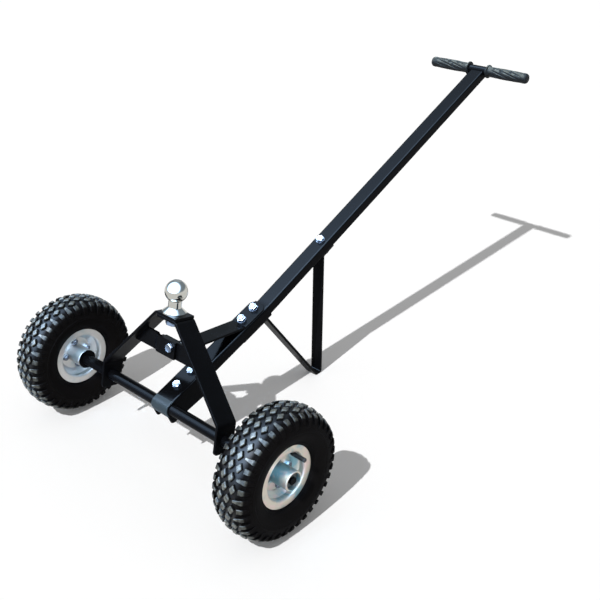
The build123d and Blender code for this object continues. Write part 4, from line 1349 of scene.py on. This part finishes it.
class DOLLY_OT_stage(Operator):
    """Makes the floor, the light and the camera"""

    bl_idname = "dolly.stage"
    bl_label = "Stage"

    # Floor in metres, and its glow; the camera's sensor in millimetres
    FLOOR_SIZE = 30.0
    FLOOR_DROP = 0.0004
    FLOOR_GLOW = 0.06
    SENSOR = 36.0
    SUN_SPREAD = math.radians(0.8)

    # Cosines to the sun where the haze starts and is full, and heights where the horizon fades out
    HAZE_SPAN = (0.1, 0.95)
    HORIZON_SPAN = (0.02, 0.22)

    def execute(self, context):
        stage = context.scene.dolly_stage
        self.make_floor(context)
        self.make_world(context, stage)
        self.make_sun(context, stage)
        self.make_camera(context, stage)
        context.scene.view_settings.view_transform = "Standard"
        return {"FINISHED"}

    def make_floor(self, context):
        """Pale floor just under the tyres, with a faint glow that takes it to white."""
        bm = bmesh.new()
        bmesh.ops.create_grid(bm, x_segments=1, y_segments=1, size=self.FLOOR_SIZE)
        bmesh.ops.translate(bm, verts=bm.verts, vec=(0, 0, -self.FLOOR_DROP))
        material, shader = new_shader("floor")
        diffuse = shader.node(
            "ShaderNodeBsdfDiffuse", None, {"Color": tuple(context.scene.dolly_colours.floor)}
        )
        glow = shader.node(
            "ShaderNodeEmission", None, {"Strength": shader.seen() * self.FLOOR_GLOW}
        )
        shader.finish(shader.node("ShaderNodeAddShader", None, {0: diffuse, 1: glow}))
        finished(bm, "floor", material)

    def make_world(self, context, stage):
        """White all round to the eye, and a hazy sky that glossy faces mirror."""
        world = bpy.data.worlds.new("studio")
        context.scene.world = world
        shader = Shader(world)
        heading = shader.node("ShaderNodeTexCoord", output="Generated")
        to_sun = shader.node(
            "ShaderNodeVectorMath", {"operation": "DOT_PRODUCT"},
            {0: heading, 1: -sun_travel(stage)}, output="Value",
        )
        sky = shader.mix(to_sun.smooth_step(*self.HAZE_SPAN) ** 2, stage.sky, stage.haze)
        height = shader.parts(heading)[2]
        sky = shader.mix(height.smooth_step(*self.HORIZON_SPAN), WHITE, sky)
        even = shader.node("ShaderNodeBackground", None, {"Color": WHITE, "Strength": stage.fill})
        mirrored = shader.node("ShaderNodeBackground", None, {"Color": sky})
        white = shader.node("ShaderNodeBackground", None, {"Color": WHITE})
        lit = shader.blend(shader.ray("Glossy"), even, mirrored)
        shown = shader.blend(shader.straight(), lit, white)
        shader.node("ShaderNodeOutputWorld", None, {"Surface": shown})

    def make_sun(self, context, stage):
        """The key lamp."""
        lamp = bpy.data.lights.new("sun", "SUN")
        lamp.energy = stage.sun_strength
        lamp.angle = self.SUN_SPREAD
        sun = bpy.data.objects.new("sun", lamp)
        context.scene.collection.objects.link(sun)
        sun.rotation_mode = "QUATERNION"
        sun.rotation_quaternion = sun_travel(stage).to_track_quat("-Z", "Y")

    def make_camera(self, context, stage):
        """Camera at the photograph's viewing angle."""
        data = bpy.data.cameras.new("photo_camera")
        data.sensor_width = self.SENSOR
        data.lens = stage.lens
        camera = bpy.data.objects.new("photo_camera", data)
        context.scene.collection.objects.link(camera)
        ahead = downward(stage.yaw, stage.pitch)
        level = Vector((math.sin(stage.yaw), -math.cos(stage.yaw), 0.0))
        above = level.cross(ahead)
        right = level * math.cos(stage.roll) + above * math.sin(stage.roll)
        up = above * math.cos(stage.roll) - level * math.sin(stage.roll)
        camera.matrix_world = (
            Matrix.Translation(stage.camera_place)
            @ Matrix((right, up, -ahead)).transposed().to_4x4()
        )
        context.scene.camera = camera


class DOLLY_PT_panel(Panel):
    """Lists the dolly's colours, its stage and the steps that make it"""

    bl_idname = "DOLLY_PT_panel"
    bl_label = "Trailer Dolly"
    bl_space_type = "VIEW_3D"
    bl_region_type = "UI"
    bl_category = "Dolly"

    def draw(self, context):
        for step in STEPS:
            self.layout.operator(step.bl_idname)
        scene = context.scene
        for group in (scene.dolly_colours, scene.dolly_tyre, scene.dolly_grip, scene.dolly_stage):
            box = self.layout.box()
            for name in group.__annotations__:
                box.prop(group, name)


STEPS = (
    DOLLY_OT_frame_finishes, DOLLY_OT_wheel_finishes, DOLLY_OT_fasteners, DOLLY_OT_tyres,
    DOLLY_OT_grips, DOLLY_OT_stage,
)
CLASSES = (DollyColours, DollyTyre, DollyGrip, DollyStage, *STEPS, DOLLY_PT_panel)


def register():
    for kind in CLASSES:
        bpy.utils.register_class(kind)
    bpy.types.Scene.dolly_colours = PointerProperty(type=DollyColours)
    bpy.types.Scene.dolly_tyre = PointerProperty(type=DollyTyre)
    bpy.types.Scene.dolly_grip = PointerProperty(type=DollyGrip)
    bpy.types.Scene.dolly_stage = PointerProperty(type=DollyStage)


def unregister():
    del bpy.types.Scene.dolly_stage
    del bpy.types.Scene.dolly_grip
    del bpy.types.Scene.dolly_tyre
    del bpy.types.Scene.dolly_colours
    for kind in reversed(CLASSES):
        bpy.utils.unregister_class(kind)


def main():
    """Makes every finish and piece and the stage."""
    register()
    bpy.ops.dolly.frame_finishes()
    bpy.ops.dolly.wheel_finishes()
    bpy.ops.dolly.fasteners()
    bpy.ops.dolly.tyres()
    bpy.ops.dolly.grips()
    bpy.ops.dolly.stage()


if __name__ == "__main__":
    main()
